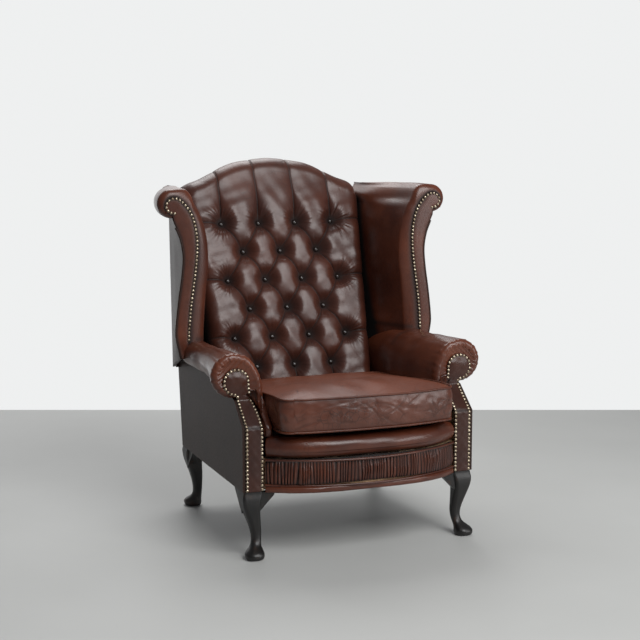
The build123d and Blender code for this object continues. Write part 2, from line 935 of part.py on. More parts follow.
skin_front_outer = [wing_point(share) for share in strip_outer_shares]
skin_shares = (0.0, 0.12, 0.28, 0.5, 0.7, 0.85, 1.0)
skin_high = back_post_top
skin_rear_outer = []
for share in skin_shares:
    height = skin_low + share * (skin_high - skin_low)
    skin_rear_outer.append((wing_rear_half(height), height * rise(rear_slope)))
skin_plane = Plane(origin=(0, wing_skin_front, 0), x_dir=(1, 0, 0), z_dir=(0, -1, 0))
with BuildPart() as outside_wing:
    for plane, outline in ((skin_plane, skin_front_outer), (rear_plane, skin_rear_outer)):
        inner_side = [(x - wing_skin, z) for x, z in reversed(outline)]
        with BuildSketch(plane):
            with BuildLine():
                Polyline(*outline, *inner_side, close=True)
            make_face()
    loft(ruled=True)
wing_panel = outside_wing.part - arm_room - wing_room - wing_hull.part
save_pair(wing_panel, "outside_wing")

# The scroll of the wing runs on over the back post to the outside back
with BuildPart() as scroll_tail:
    extrude(to_extrude=wing_rear_section, amount=back_upper_y, dir=(0, 1, 0))
scroll_tail_limit = side_strip(
    (
        (back_face_base, back_post_top + fit_gap),
        (back_face_base, crest_height),
        (rear_y(crest_height), crest_height),
        (rear_y(back_post_top + fit_gap), back_post_top + fit_gap),
    ),
    back_low_half,
    wing_roll_x,
)
wing_body = wing_hull.part + (scroll_tail.part & scroll_tail_limit)

# Camel back


def crest_outline(plane, drop, half_drop, base, base_half, scale):
    """Front view of the back: sloping sides under the camel-back top, lowered by drop."""
    shoulder = (back_shoulder_half - half_drop, (shoulder_height - drop) * scale)
    dip = (shoulder_dip_x - half_drop, (shoulder_dip - drop) * scale)
    hump = (camel_half, (camel_height - drop) * scale)
    with BuildSketch(plane) as face:
        with BuildLine():
            Line((-base_half, base * scale), (base_half, base * scale))
            Line((base_half, base * scale), shoulder)
            ThreePointArc(shoulder, dip, hump)
            ThreePointArc(hump, (0, (crest_height - drop) * scale), (-hump[0], hump[1]))
            ThreePointArc((-hump[0], hump[1]), (-dip[0], dip[1]), (-shoulder[0], shoulder[1]))
            Line((-shoulder[0], shoulder[1]), (-base_half, base * scale))
        make_face()
    return face.sketch


def upright(y):
    """Vertical plane across the chair at depth y, local y upwards."""
    return Plane(origin=(0, y, 0), x_dir=(1, 0, 0), z_dir=(0, -1, 0))


far_rear = back_upper_y + overrun
back_room = extrude(
    to_extrude=crest_outline(
        upright(far_rear), -soft_gap, -soft_gap, back_base_height, back_low_half + soft_gap, 1
    ),
    amount=far_rear,
)
inside_wing = wing_body - arm_room - facing_room - wing_room - back_room
save_pair(inside_wing, "inside_wing")
save_pair(inside_arm - wing_post_wood(soft_gap), "inside_arm")
pad_rear_top = crest_height + overrun
slab_side = (
    (back_face_y(back_base_height), back_base_height),
    (post_front_y(back_base_height) - web_room, back_base_height),
    (post_front_y(arm_level) - web_room, arm_level),
    (rear_y(back_post_top) - outside_back_thickness, back_post_top + fit_gap),
    (rear_y(back_post_top), back_post_top + fit_gap),
    (rear_y(pad_rear_top), pad_rear_top),
    (back_face_y(pad_rear_top), pad_rear_top),
)
pad_rear_high = post_front_y(back_post_top) - web_room
slab_hollow = (
    (pad_rear_high, back_post_top),
    (post_front_y(arm_level) - web_room, arm_level),
    (far_rear, arm_level),
    (far_rear, pad_rear_top),
    (pad_rear_high + frame_slope * (pad_rear_top - back_post_top), pad_rear_top),
)
with BuildPart() as back_slab:
    extrude(
        to_extrude=crest_outline(upright(far_rear), 0, 0, back_base_height, back_low_half, 1),
        amount=far_rear,
    )
slab_limit = side_strip(slab_side, -side_front_half, side_front_half)
with BuildPart() as hollow:
    extrude(
        to_extrude=crest_outline(
            upright(far_rear + overrun),
            crest_pad,
            -overrun,
            back_base_height - overrun,
            side_front_half,
            1,
        ),
        amount=far_rear + overrun,
    )
low_hollow = side_strip(
    (
        (-far_rear, back_base_height - overrun),
        (-far_rear, back_post_top + fit_gap),
        (far_rear + overrun, back_post_top + fit_gap),
        (far_rear + overrun, back_base_height - overrun),
    ),
    -side_front_half,
    side_front_half,
)
crest_channel = hollow.part & side_strip(
    (
        (-far_rear, back_post_top - overrun),
        (-far_rear, pad_rear_top),
        (far_rear + overrun, pad_rear_top),
        (far_rear + overrun, back_post_top - overrun),
    ),
    -back_post_inner,
    back_post_inner,
)
slab_cut = side_strip(slab_hollow, -side_front_half, side_front_half) & (low_hollow + crest_channel)
padded_slab = (back_slab.part & slab_limit) - slab_cut

face_plane = raked_plane(back_rake, back_face_base)
face_rise = rise(back_rake)
button_places = []
for row in range(button_rows):
    count = wide_row_count - row % 2
    for column in range(count):
        x = (column - (count - 1) / 2) * button_pitch
        button_places.append((x, button_top_height - row * button_row_pitch))


def row_height(row):
    """Height of a button row, counted from the top."""
    return button_top_height - row * button_row_pitch


def crest_edge(x):
    """Height at which the puffs stop under the crest, at x."""
    if abs(x) > shoulder_dip_x:
        return shoulder_dip - crest_round - puff_inset
    span = (abs(x) / camel_half) ** 2
    return crest_height - crest_round - puff_inset - span * (crest_height - camel_height)


pitch = button_pitch
half_pitch = button_pitch / 2
last = button_rows - 1
foot = back_base_height + puff_inset
puffs = []
for row in range(button_rows - 2):
    for column in range(2 + row % 2):
        x = (column - (1 + row % 2) / 2) * pitch
        diamond = (
            (x, row_height(row)),
            (x + half_pitch, row_height(row + 1)),
            (x, row_height(row + 2)),
            (x - half_pitch, row_height(row + 1)),
        )
        puffs.append(diamond)
for side in (1, -1):
    outer = side * (pitch + half_pitch)
    edge = puff_inset + soft_gap
    for row in (0, 2):
        top, low = row_height(row), row_height(row + 2)
        puffs.append(
            (
                (outer, top),
                (side * (back_half(top) - edge), top),
                (side * (back_half(low) - edge), low),
                (outer, low),
                (side * pitch, row_height(row + 1)),
            )
        )
    top = row_height(last - 1)
    puffs.append(
        (
            (outer, top),
            (side * (back_half(top) - edge), top),
            (side * (back_half(foot) - edge), foot),
            (side * pitch, foot),
            (side * pitch, row_height(last)),
        )
    )
    puffs.append(
        (
            (side * half_pitch, top),
            (side * pitch, row_height(last)),
            (side * pitch, foot),
            (0, foot),
            (0, row_height(last)),
        )
    )
    high = row_height(0)
    puffs.append(
        (
            (outer, high),
            (side * (back_half(high) - edge), high),
            (side * (back_shoulder_half - edge), shoulder_height - crest_round),
            (outer, crest_edge(outer)),
        )
    )
    puffs.append(
        (
            (side * half_pitch, high),
            (side * pitch, row_height(1)),
            (outer, high),
            (outer, crest_edge(outer)),
            (side * half_pitch, crest_edge(half_pitch)),
        )
    )
puffs.append(
    (
        (-half_pitch, row_height(0)),
        (0, row_height(1)),
        (half_pitch, row_height(0)),
        (half_pitch, crest_edge(half_pitch)),
        (-half_pitch, crest_edge(half_pitch)),
    )
)
puff_shares = ((0.97, -0.04), (0.90, 0.45), (0.74, 0.80), (0.42, 1.0))


def puff(outline):
    """Pillow between buttons, lofted from its seam up to a small crown."""
    middle_x = sum(x for x, z in outline) / len(outline)
    middle_z = sum(z for x, z in outline) / len(outline)
    with BuildPart() as piece:
        for spread, height in puff_shares:
            with BuildSketch(face_plane.offset(height * puff_height)):
                with BuildLine():
                    corners = []
                    for x, z in outline:
                        local_x = middle_x + spread * (x - middle_x)
                        local_z = middle_z + spread * (z - middle_z)
                        corners.append((local_x, local_z * face_rise))
                    Polyline(*corners, close=True)
                make_face()
        loft(ruled=True)
    return piece.part


puff_solids = [puff(outline) for outline in puffs]
with BuildPart() as button_pits:
    with BuildSketch(face_plane):
        with Locations(*[(x, z * face_rise) for x, z in button_places]):
            Circle(button_pit)
    extrude(amount=2 * puff_height)
inside_back = padded_slab + puff_solids - button_pits.part
save(inside_back, "inside_back")

with BuildPart() as back_buttons:
    with BuildSketch(face_plane.offset(fit_gap)):
        with Locations(*[(x, z * face_rise) for x, z in button_places]):
            Circle(button_radius)
    extrude(amount=button_height)
    crowns = back_buttons.edges().filter_by(GeomType.CIRCLE)
    crowns = crowns.sort_by(Axis(face_plane.origin, face_plane.z_dir))
    chamfer(crowns[len(button_places):], length=button_height / 3)
save(back_buttons.part, "back_buttons")

# Crest rail and outside back
rail_drop = crest_pad + fit_gap
with BuildPart() as crest_rail:
    extrude(
        to_extrude=crest_outline(
            upright(far_rear),
            rail_drop,
            back_shoulder_half - back_post_inner + fit_gap,
            back_post_top - crest_rail_drop,
            back_post_inner - fit_gap,
            1,
        ),
        amount=far_rear,
    )
rail_rear_inset = outside_back_thickness + fit_gap
rail_front_cut = rail_rear_inset + crest_rail_thickness
rail_limit = side_strip(
    (
        (rear_y(back_post_top - crest_rail_drop, rail_front_cut), back_post_top - crest_rail_drop),
        (rear_y(crest_height, rail_front_cut), crest_height),
        (rear_y(crest_height, rail_rear_inset), crest_height),
        (rear_y(back_post_top - crest_rail_drop, rail_rear_inset), back_post_top - crest_rail_drop),
    ),
    -side_front_half,
    side_front_half,
)
save(crest_rail.part & rail_limit, "crest_rail")

back_panel_side = (
    (rear_y(facing_bottom, outside_back_thickness), facing_bottom),
    (rear_y(arm_level, outside_back_thickness), arm_level),
    (rear_y(crest_height, outside_back_thickness), crest_height),
    (rear_y(crest_height), crest_height),
    (rear_y(arm_level), arm_level),
    (rear_y(facing_bottom), facing_bottom),
)
back_panel_limit = side_strip(back_panel_side, -side_front_half, side_front_half)
panel_low_half = side_rear_half - side_panel_thickness - soft_gap
panel_mid_half = wing_rear_low_half - wing_skin - 2 * soft_gap
panel_high_half = wing_rear_half(back_post_top) - wing_skin - 2 * soft_gap
with BuildPart() as back_lower:
    with BuildSketch(upright(far_rear)):
        with BuildLine():
            Polyline(
                (-panel_low_half, facing_bottom),
                (panel_low_half, facing_bottom),
                (panel_low_half, skin_low),
                (panel_mid_half, skin_low),
                (panel_high_half, back_post_top),
                (-panel_high_half, back_post_top),
                (-panel_mid_half, skin_low),
                (-panel_low_half, skin_low),
                close=True,
            )
        make_face()
    extrude(amount=far_rear)
with BuildPart() as back_upper:
    extrude(
        to_extrude=crest_outline(
            upright(far_rear),
            rail_drop,
            back_shoulder_half - back_post_inner + fit_gap,
            back_post_top - fit_gap,
            back_post_inner - fit_gap,
            1,
        ),
        amount=far_rear,
    )
save((back_lower.part + back_upper.part) & back_panel_limit, "outside_back")

# Webbing under the seat and behind the back pad
web_low = rail_top_height + fit_gap / 3
long_span = 2 * (rail_inner - corner_block_size)
with BuildPart() as seat_webbing_long:
    for index in range(seat_webs_long):
        x = (index / (seat_webs_long - 1) - 1 / 2) * long_span
        front = bow_y(abs(x) + web_width / 2, rail_front_inset)
        rear = back_rail_front + rail_thickness
        with Locations((x, (front + rear) / 2, web_low)):
            Box(
                web_width,
                rear - front,
                web_thickness,
                align=(Align.CENTER, Align.CENTER, Align.MIN),
            )
save(seat_webbing_long.part, "seat_webbing_long")

web_second = web_low + web_thickness + fit_gap / 3
cross_front = bow_y(rail_outer, rail_front_inset + rail_thickness) + web_width
cross_rear = back_rail_front - web_width
with BuildPart() as seat_webbing_cross:
    for index in range(seat_webs_cross):
        y = cross_front + index / (seat_webs_cross - 1) * (cross_rear - cross_front)
        with Locations((0, y, web_second)):
            Box(
                2 * rail_outer,
                web_width,
                web_thickness,
                align=(Align.CENTER, Align.CENTER, Align.MIN),
            )
save(seat_webbing_cross.part, "seat_webbing_cross")

web_plane = raked_plane(frame_slope, frame_base_y - fit_gap)
web_first_height = arm_level + web_width
web_span = back_post_top - arm_level - 2 * web_width - wing_rail_height
with BuildPart() as back_webbing:
    for index in range(back_webs):
        height = web_first_height + index / (back_webs - 1) * web_span
        with BuildSketch(web_plane):
            with Locations((0, height * rise(frame_slope))):
                Rectangle(2 * back_post_outer, web_width)
        extrude(amount=web_thickness)
save(back_webbing.part, "back_webbing")

# Seat deck, a thin pad on the webbing
deck_bottom = web_second + web_thickness + fit_gap
deck_half = bow_half - fit_gap
deck_rear = post_front_y(deck_bottom) - fit_gap
with BuildPart() as seat_deck:
    with BuildSketch(Plane.XY.offset(deck_bottom)):
        with BuildLine():
            deck_inset = front_roll_depth + soft_gap
            ThreePointArc(
                (-deck_half, bow_y(deck_half, deck_inset)),
                (0, bow_y(0, deck_inset)),
                (deck_half, bow_y(deck_half, deck_inset)),
            )
            Polyline(
                (deck_half, bow_y(deck_half, deck_inset)),
                (deck_half, deck_rear),
                (-deck_half, deck_rear),
                (-deck_half, bow_y(deck_half, deck_inset)),
            )
        make_face()
    extrude(amount=deck_top_height - deck_bottom)
save(seat_deck.part, "seat_deck")

# Bowed front: roll, gathered band, lower band and the welts between them
bow_axis = Axis((0, bow_centre_y, 0), (0, 0, 1))
bow_angle = 2 * degrees(asin(bow_half / bow_radius)) + overrun
band_half = bow_half - fit_gap
band_limit = side_strip(
    (
        (bow_front - overrun, 0),
        (bow_front - overrun, arm_roll_height),
        (0, arm_roll_height),
        (0, 0),
    ),
    -band_half,
    band_half,
)
welt_depth = 2 * welt_radius
lower_band_top = lower_edge_height + lower_band_height
gather_bottom = lower_band_top + welt_depth
roll_bottom = web_low + web_thickness + fit_gap
gather_top = roll_bottom - welt_depth - soft_gap


def around_bow(face):
    """Turn a section at the middle of the front round the bow, cut at the arm facings."""
    with BuildPart() as piece:
        revolve(face, axis=bow_axis, revolution_arc=bow_angle)
    centred = piece.part.rotate(bow_axis, -bow_angle / 2)
    return centred & band_limit


with BuildSketch(Plane.YZ) as roll_section:
    roll_middle = (bow_front + front_roll_radius, roll_bottom + front_roll_radius)
    with Locations(roll_middle):
        Circle(front_roll_radius)
    with Locations((bow_front + front_roll_radius, roll_bottom)):
        Rectangle(
            front_roll_depth - front_roll_radius,
            2 * front_roll_radius,
            align=(Align.MIN, Align.MIN),
        )
save(around_bow(roll_section.sketch), "front_roll")

with BuildPart() as band_welts:
    for height in (lower_band_top, gather_top):
        with BuildSketch(Plane.YZ):
            with Locations((bow_front + welt_radius, height + welt_radius + fit_gap / 2)):
                Circle(welt_radius - fit_gap / 2)
        revolve(axis=bow_axis, revolution_arc=bow_angle)
save(band_welts.part.rotate(bow_axis, -bow_angle / 2) & band_limit, "band_welts")

save(
    bow_strip(band_half, 0, band_depth, lower_edge_height, lower_band_height),
    "lower_band",
)

with BuildPart() as gathered_band:
    gather_angle = asin(band_half / bow_radius)
    with BuildSketch(Plane.XY.offset(gather_bottom + fit_gap / 2)):
        with BuildLine():
            ridge = []
            for index in range(2 * gather_count + 1):
                turn = gather_angle * (index / gather_count - 1)
                reach = bow_radius - gather_depth * (1 + index % 2) / 2
                ridge.append((reach * sin(turn), bow_centre_y - reach * cos(turn)))
            Polyline(*ridge)
            inner_reach = bow_radius - band_depth
            inner_left = (-inner_reach * sin(gather_angle), bow_centre_y - inner_reach * cos(gather_angle))
            inner_right = (-inner_left[0], inner_left[1])
            Line(ridge[-1], inner_right)
            ThreePointArc(inner_right, (0, bow_centre_y - inner_reach), inner_left)
            Line(inner_left, ridge[0])
        make_face()
    extrude(amount=gather_top - gather_bottom - fit_gap)
save(gathered_band.part, "gathered_band")

# Cover under the seat, cut round the posts
with BuildPart() as dust_cover:
    cover_half = rail_outer - fit_gap
    cover_front = rail_front_inset + rail_thickness / 4
    with BuildSketch(Plane.XY.offset(facing_bottom - fit_gap / 2)):
        with BuildLine():
            ThreePointArc(
                (-cover_half, bow_y(cover_half, cover_front)),
                (0, bow_y(0, cover_front)),
                (cover_half, bow_y(cover_half, cover_front)),
            )
            Polyline(
                (cover_half, bow_y(cover_half, cover_front)),
                (cover_half, back_rail_front + rail_thickness),
                (-cover_half, back_rail_front + rail_thickness),
                (-cover_half, bow_y(cover_half, cover_front)),
            )
        make_face()
        for side in (1, -1):
            notch_x = side * (arm_post_inner + arm_post_outer) / 2
            with Locations((notch_x, (arm_post_front + arm_post_rear) / 2)):
                Rectangle(
                    arm_post_outer - arm_post_inner + 2 * soft_gap,
                    arm_post_depth + 2 * soft_gap,
                    mode=Mode.SUBTRACT,
                )
            post_rear = rear_y(rail_bottom, back_inset)
            post_front = post_front_y(leg_height)
            with Locations((side * (back_post_inner + back_post_outer) / 2, (post_front + post_rear) / 2)):
                Rectangle(
                    post_thickness + 2 * soft_gap,
                    post_rear - post_front + 2 * soft_gap,
                    mode=Mode.SUBTRACT,
                )
    extrude(amount=cover_thickness)
save(dust_cover.part, "dust_cover")

# Loose seat cushion: crowned top and bottom, bowed front, piped edges
cushion_half = seat_half - soft_gap - fit_gap - 2 * cushion_welt_radius
cushion_front_y = bow_front + 2 * cushion_welt_radius
welt_height = 2 * cushion_welt_radius


def cushion_outline(plane, side_inset, front_inset):
    """Plan of the cushion at one level, drawn in from its widest line."""
    half = cushion_half - side_inset
    rear = cushion_rear_y - front_inset
    corner_y = bow_y(half, 2 * cushion_welt_radius) + front_inset
    middle_y = cushion_front_y + front_inset
    soft = cushion_corner
    diagonal = soft * (1 - diagonal_share)
    with BuildSketch(plane) as face:
        with BuildLine():
            ThreePointArc((-half, corner_y), (0, middle_y), (half, corner_y))
            Line((half, corner_y), (half, rear - soft))
            ThreePointArc((half, rear - soft), (half - diagonal, rear - diagonal), (half - soft, rear))
            Line((half - soft, rear), (soft - half, rear))
            ThreePointArc((soft - half, rear), (diagonal - half, rear - diagonal), (-half, rear - soft))
            Line((-half, rear - soft), (-half, corner_y))
        make_face()
    return face.sketch


high_drop = cushion_crown_height - cushion_high_welt
low_rise = cushion_low_welt - cushion_base_height
cushion_levels = (
    (cushion_base_height, cushion_crown_insets[1]),
    (cushion_low_welt - low_rise / 2, cushion_crown_insets[0] / 2),
    (cushion_low_welt, 0),
    (cushion_low_welt + welt_height, 0),
    ((cushion_low_welt + cushion_high_welt) / 2, -cushion_swell / 2),
    (cushion_high_welt - welt_height, 0),
    (cushion_high_welt, 0),
    (cushion_high_welt + high_drop * cushion_crown_shares[0], cushion_crown_insets[0]),
    (cushion_high_welt + high_drop * cushion_crown_shares[1], cushion_crown_insets[1]),
    (cushion_crown_height, cushion_crown_insets[2]),
)
with BuildPart() as seat_cushion:
    sections = []
    for height, inset in cushion_levels:
        sections.append(cushion_outline(Plane.XY.offset(height), inset, inset))
    loft(sections=sections, ruled=True)
save(seat_cushion.part, "seat_cushion")

with BuildPart() as cushion_welts:
    for height in (cushion_low_welt, cushion_high_welt - welt_height):
        level = Plane.XY.offset(height)
        with BuildSketch(level):
            add(cushion_outline(Plane.XY, -welt_height, -welt_height / 2))
            add(cushion_outline(Plane.XY, -fit_gap / 2, -fit_gap / 2), mode=Mode.SUBTRACT)
        extrude(amount=welt_height)
save(cushion_welts.part, "cushion_welts")
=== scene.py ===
"""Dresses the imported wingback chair: leather covers, buttons, dome nails, turned legs and a plain studio.

Lengths are metres in the CAD's frame: +X is the viewer's right, the sitter faces -Y and +Z is up. Each soft
surface is a numpy grid, and its formula stands in the docstring of the method that makes it.
"""

import logging
import math
from dataclasses import dataclass
from enum import Enum

import bmesh
import bpy
import numpy as np
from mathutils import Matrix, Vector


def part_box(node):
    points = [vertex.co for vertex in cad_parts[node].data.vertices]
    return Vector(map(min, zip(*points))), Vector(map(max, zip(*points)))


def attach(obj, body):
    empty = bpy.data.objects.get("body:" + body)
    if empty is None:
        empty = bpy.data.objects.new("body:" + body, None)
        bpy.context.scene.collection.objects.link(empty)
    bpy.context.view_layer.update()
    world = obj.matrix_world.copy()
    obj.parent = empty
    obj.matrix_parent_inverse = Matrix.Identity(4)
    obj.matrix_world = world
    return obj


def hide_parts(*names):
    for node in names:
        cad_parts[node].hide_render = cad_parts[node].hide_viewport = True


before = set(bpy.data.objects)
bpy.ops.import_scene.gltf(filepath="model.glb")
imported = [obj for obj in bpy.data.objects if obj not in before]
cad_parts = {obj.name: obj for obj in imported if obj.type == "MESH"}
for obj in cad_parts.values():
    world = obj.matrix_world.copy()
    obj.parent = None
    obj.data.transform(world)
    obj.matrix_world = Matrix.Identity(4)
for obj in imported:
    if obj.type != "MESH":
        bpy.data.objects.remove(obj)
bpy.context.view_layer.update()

log = logging.getLogger("chair")
Array = np.ndarray
Triple = tuple[float, float, float]
Socket = bpy.types.NodeSocket
Material = bpy.types.Material
SIDES = {"right": 1.0, "left": -1.0}
FULL_TURN = 6.28


def ease(share: Array) -> Array:
    """Smooth step from 0 to 1: three squares less two cubes of the clipped share."""
    share = np.clip(share, 0.0, 1.0)
    return share * share * (3 - 2 * share)


def bell(distance: Array, width: float) -> Array:
    """Gaussian of a distance, exp(-(distance / width) ^ 2)."""
    return np.exp(-((distance / width) ** 2))


def crown(distance: Array, reach: float, power: float = 2.2, root: float = 1.6) -> Array:
    """Pillow profile: steep at a seam and flat at the middle, 1 - (1 - d / reach) ^ power, rooted."""
    near = np.clip(distance / reach, 0.0, 1.0)
    return (1 - (1 - near) ** power) ** (1 / root)


def dome_across(share: Array) -> Array:
    """Fourth-power dome over a strip: 0 at shares 0 and 1, and 1 half-way."""
    return 1 - (2 * share - 1) ** 4


def unit(vectors: Array) -> Array:
    """The vectors at length 1."""
    return vectors / np.maximum(np.linalg.norm(vectors, axis=-1, keepdims=True), 1e-9)


def run_along(line: Array) -> Array:
    """Length of a polyline (n, k) from its start to each of its points."""
    return np.concatenate([[0.0], np.cumsum(np.linalg.norm(np.diff(line, axis=0), axis=1))])


def along(line: Array, count: int) -> Array:
    """Even spacing on a polyline (n, k), by arc length, from end to end."""
    line = np.asarray(line, float)
    run = run_along(line)
    where = np.linspace(0.0, run[-1], count)
    return np.stack([np.interp(where, run, line[:, k]) for k in range(line.shape[1])], axis=1)


def spline(knots: Array, share: Array) -> Array:
    """Catmull-Rom curve through knots.

    Args:
        knots: Points (..., n, k).
        share: Places (m,) on the curve, from 0 at the first knot to n - 1 at the last.

    Returns:
        Points (..., m, k).
    """
    before = 2 * knots[..., :1, :] - knots[..., 1:2, :]
    after = 2 * knots[..., -1:, :] - knots[..., -2:-1, :]
    padded = np.concatenate([before, knots, after], axis=-2)
    piece = np.minimum(share.astype(int), knots.shape[-2] - 2)
    t = (share - piece)[:, None]
    a, b, c, d = (padded[..., piece + k, :] for k in range(4))
    return 0.5 * (2 * b + (c - a) * t + (2 * a - 5 * b + 4 * c - d) * t**2 + (3 * b - a - 3 * c + d) * t**3)


def flowing(knots: Array, count: int) -> Array:
    """Smooth line through knots, evened out by arc length."""
    knots = np.asarray(knots, float)
    return along(spline(knots, np.linspace(0.0, len(knots) - 1, 24 * len(knots))), count)


def softened(place: Array, knots: list[float], values: list[float], spread: float = 0.022) -> Array:
    """Straight runs between knots with their corners worn off: the mean of seven shifted looks."""
    shifts = np.linspace(-spread, spread, 7)
    return np.mean([np.interp(place + shift, knots, values) for shift in shifts], axis=0)


def arc(centre: tuple[float, float], radius: float, start: float, end: float, count: int) -> Array:
    """Points (count, 2) on a circle between two angles in degrees."""
    angle = np.radians(np.linspace(start, end, count))
    return np.stack([centre[0] + radius * np.cos(angle), centre[1] + radius * np.sin(angle)], axis=1)


def ripple(u: Array, v: Array, seed: int, waves: int = 9) -> Array:
    """Seeded smooth noise near -1 to 1: a sum of sine waves with random directions and phases."""
    random = np.random.default_rng(seed)
    total = np.zeros(np.broadcast(u, v).shape)
    for _ in range(waves):
        rate = random.uniform(1.0, 6.0)
        turn = random.uniform(0, 2 * math.pi)
        phase = random.uniform(0, 2 * math.pi)
        total = total + np.sin(rate * (u * math.cos(turn) + v * math.sin(turn)) + phase)
    return total / math.sqrt(waves)


def creases(
    u: Array, v: Array, seed: int, count: int, spread: float, length: float, lean: float
) -> Array:
    """Seeded thin wrinkles, 0 to 1: each is a Gaussian ridge on a short slanting line.

    Args:
        u: First coordinate on the surface, in metres.
        v: Second coordinate, in metres.
        seed: Seed of the random places.
        count: How many wrinkles.
        spread: Half width of a ridge.
        length: Half length of a wrinkle.
        lean: How far the wrinkles turn from the first direction, in radians.

    Returns:
        Ridge heights with the grid's shape.
    """
    random = np.random.default_rng(seed)
    total = np.zeros(np.broadcast(u, v).shape)
    for _ in range(count):
        du = u - random.uniform(u.min(), u.max())
        dv = v - random.uniform(v.min(), v.max())
        turn = random.normal(0.0, lean)
        reach = length * random.uniform(0.5, 1.4)
        bend = random.uniform(-1, 1) / reach
        run = du * math.cos(turn) + dv * math.sin(turn)
        off = -du * math.sin(turn) + dv * math.cos(turn) - 0.35 * bend * run**2
        ridge = bell(off, spread) * np.exp(-((run / reach) ** 4))
        total = np.maximum(total, ridge * random.uniform(0.4, 1.0))
    return total


def to_segment(u: Array, v: Array, start: Array, end: Array) -> tuple[Array, Array]:
    """Distance from each point to a segment, and the share along it of the nearest point."""
    du, dv = end[0] - start[0], end[1] - start[1]
    share = np.clip(((u - start[0]) * du + (v - start[1]) * dv) / (du * du + dv * dv), 0, 1)
    return np.hypot(u - start[0] - share * du, v - start[1] - share * dv), share


def stood(flat: Array, y: Array) -> Array:
    """Points (..., 3) from pairs (..., 2) of x and z and from depths that spread over them."""
    return np.stack([flat[..., 0], np.broadcast_to(y, flat.shape[:-1]), flat[..., 1]], axis=-1)


def between(one: Array, two: Array, share: Array) -> Array:
    """Points on straight lines from one to two."""
    return one * (1 - share) + two * share


class Cover:
    """A surface gathered from grids, tubes and lids before it becomes a mesh."""

    def __init__(self) -> None:
        """Start with no points."""
        self.points: list[Array] = []
        self.faces: list[list[int]] = []
        # Painted shade at each point, kept for the mesh attribute that darkens the leather.
        self.painted_shade: list[Array] = []
        self.rub: list[Array] = []
        self.count = 0

    def grid(
        self, points: Array, ring: bool = False, loop: bool = False, lids: bool = False,
        painted_shade: Array | float = 0.0, rub: Array | float = 0.0,
    ) -> Array:
        """Add a grid of quads: rows run along the piece, columns run round or across it.

        Args:
            points: Array (rows, columns, 3).
            ring: Whether the columns close on themselves.
            loop: Whether the rows close on themselves.
            lids: Whether the first and last row are closed by zipping their two halves.
            painted_shade: Painted shade at each point, 0 to 1, darkest in creases, pits and the gaps between
                parts.
            rub: Wear at each point, 0 to 1.

        Returns:
            The numbers of the grid's vertices, (rows, columns).
        """
        rows, columns = points.shape[:2]
        number = self.count + np.arange(rows * columns).reshape(rows, columns)
        down = np.vstack([number, number[:1]]) if loop else number
        net = np.hstack([down, down[:, :1]]) if ring else down
        quads = np.stack([net[:-1, :-1], net[:-1, 1:], net[1:, 1:], net[1:, :-1]], axis=-1)
        self.faces += quads.reshape(-1, 4).tolist()
        for row, turned in ((number[0], True), (number[-1], False)) if lids else ():
            half = columns // 2
            left, right = row[:half], row[::-1][:half]
            strip = np.stack([left[:-1], left[1:], right[1:], right[:-1]], axis=-1)
            self.faces += (strip[:, ::-1] if turned else strip).tolist()
            if columns % 2:
                self.faces.append([int(left[-1]), int(row[half]), int(right[-1])])
        self.points.append(points.reshape(-1, 3))
        for kept, values in ((self.painted_shade, painted_shade), (self.rub, rub)):
            kept.append(np.broadcast_to(values, (rows, columns)).ravel())
        self.count += rows * columns
        return number

    def tube(self, path: Array, radius: float, up: Triple, sides: int, closed: bool = False) -> None:
        """Add a round tube: a circle stands square to the path, measured against one up direction."""
        ahead = unit(np.roll(path, -1, 0) - np.roll(path, 1, 0) if closed else np.gradient(path, axis=0))
        across = unit(np.cross(ahead, np.array(up, float)))
        over = np.cross(across, ahead)
        turn = np.linspace(0, 2 * math.pi, sides, endpoint=False)[None, :, None]
        ring = np.cos(turn) * across[:, None] + np.sin(turn) * over[:, None]
        self.grid(path[:, None] + radius * ring, ring=True, loop=closed, lids=not closed)

    def cap(self, row: Array, centre: Array) -> None:
        """Close a ring of vertices with a fan round one point."""
        self.points.append(np.asarray(centre, float).reshape(1, 3))
        self.painted_shade.append(np.zeros(1))
        self.rub.append(np.zeros(1))
        self.faces += [[int(a), int(b), self.count] for a, b in zip(row, np.roll(row, -1))]
        self.count += 1

    def piece(self, name: str, body: str, finish: Material, slot: str) -> bpy.types.Object:
        """Make the object, turn its faces outwards and let it ride on its body."""
        mesh = bpy.data.meshes.new(name)
        mesh.from_pydata(np.vstack(self.points).tolist(), [], self.faces)
        for label, values in (("painted_shade", self.painted_shade), ("rub", self.rub)):
            data = mesh.attributes.new(label, "FLOAT", "POINT")
            data.data.foreach_set("value", np.concatenate(values).astype(np.float32))
        mesh.validate()
        shell = bmesh.new()
        shell.from_mesh(mesh)
        bmesh.ops.recalc_face_normals(shell, faces=shell.faces)
        shell.to_mesh(mesh)
        shell.free()
        mesh.polygons.foreach_set("use_smooth", np.ones(len(mesh.polygons), bool))
        mesh.materials.append(finish)
        made = bpy.data.objects.new(name, mesh)
        bpy.context.scene.collection.objects.link(made)
        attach(made, body)
        log.info("%s: %d faces", name, len(mesh.polygons))
        return made


def on_side(points: Array, side: str) -> Array:
    """The same points on the named side of the chair."""
    return points * np.array([SIDES[side], 1.0, 1.0])


def thickened(made: bpy.types.Object, depth: float) -> bpy.types.Object:
    """Give an open cover a wall behind its outer face."""
    wall = made.modifiers.new("wall", "SOLIDIFY")
    wall.thickness = depth
    wall.offset = -1.0
    return made


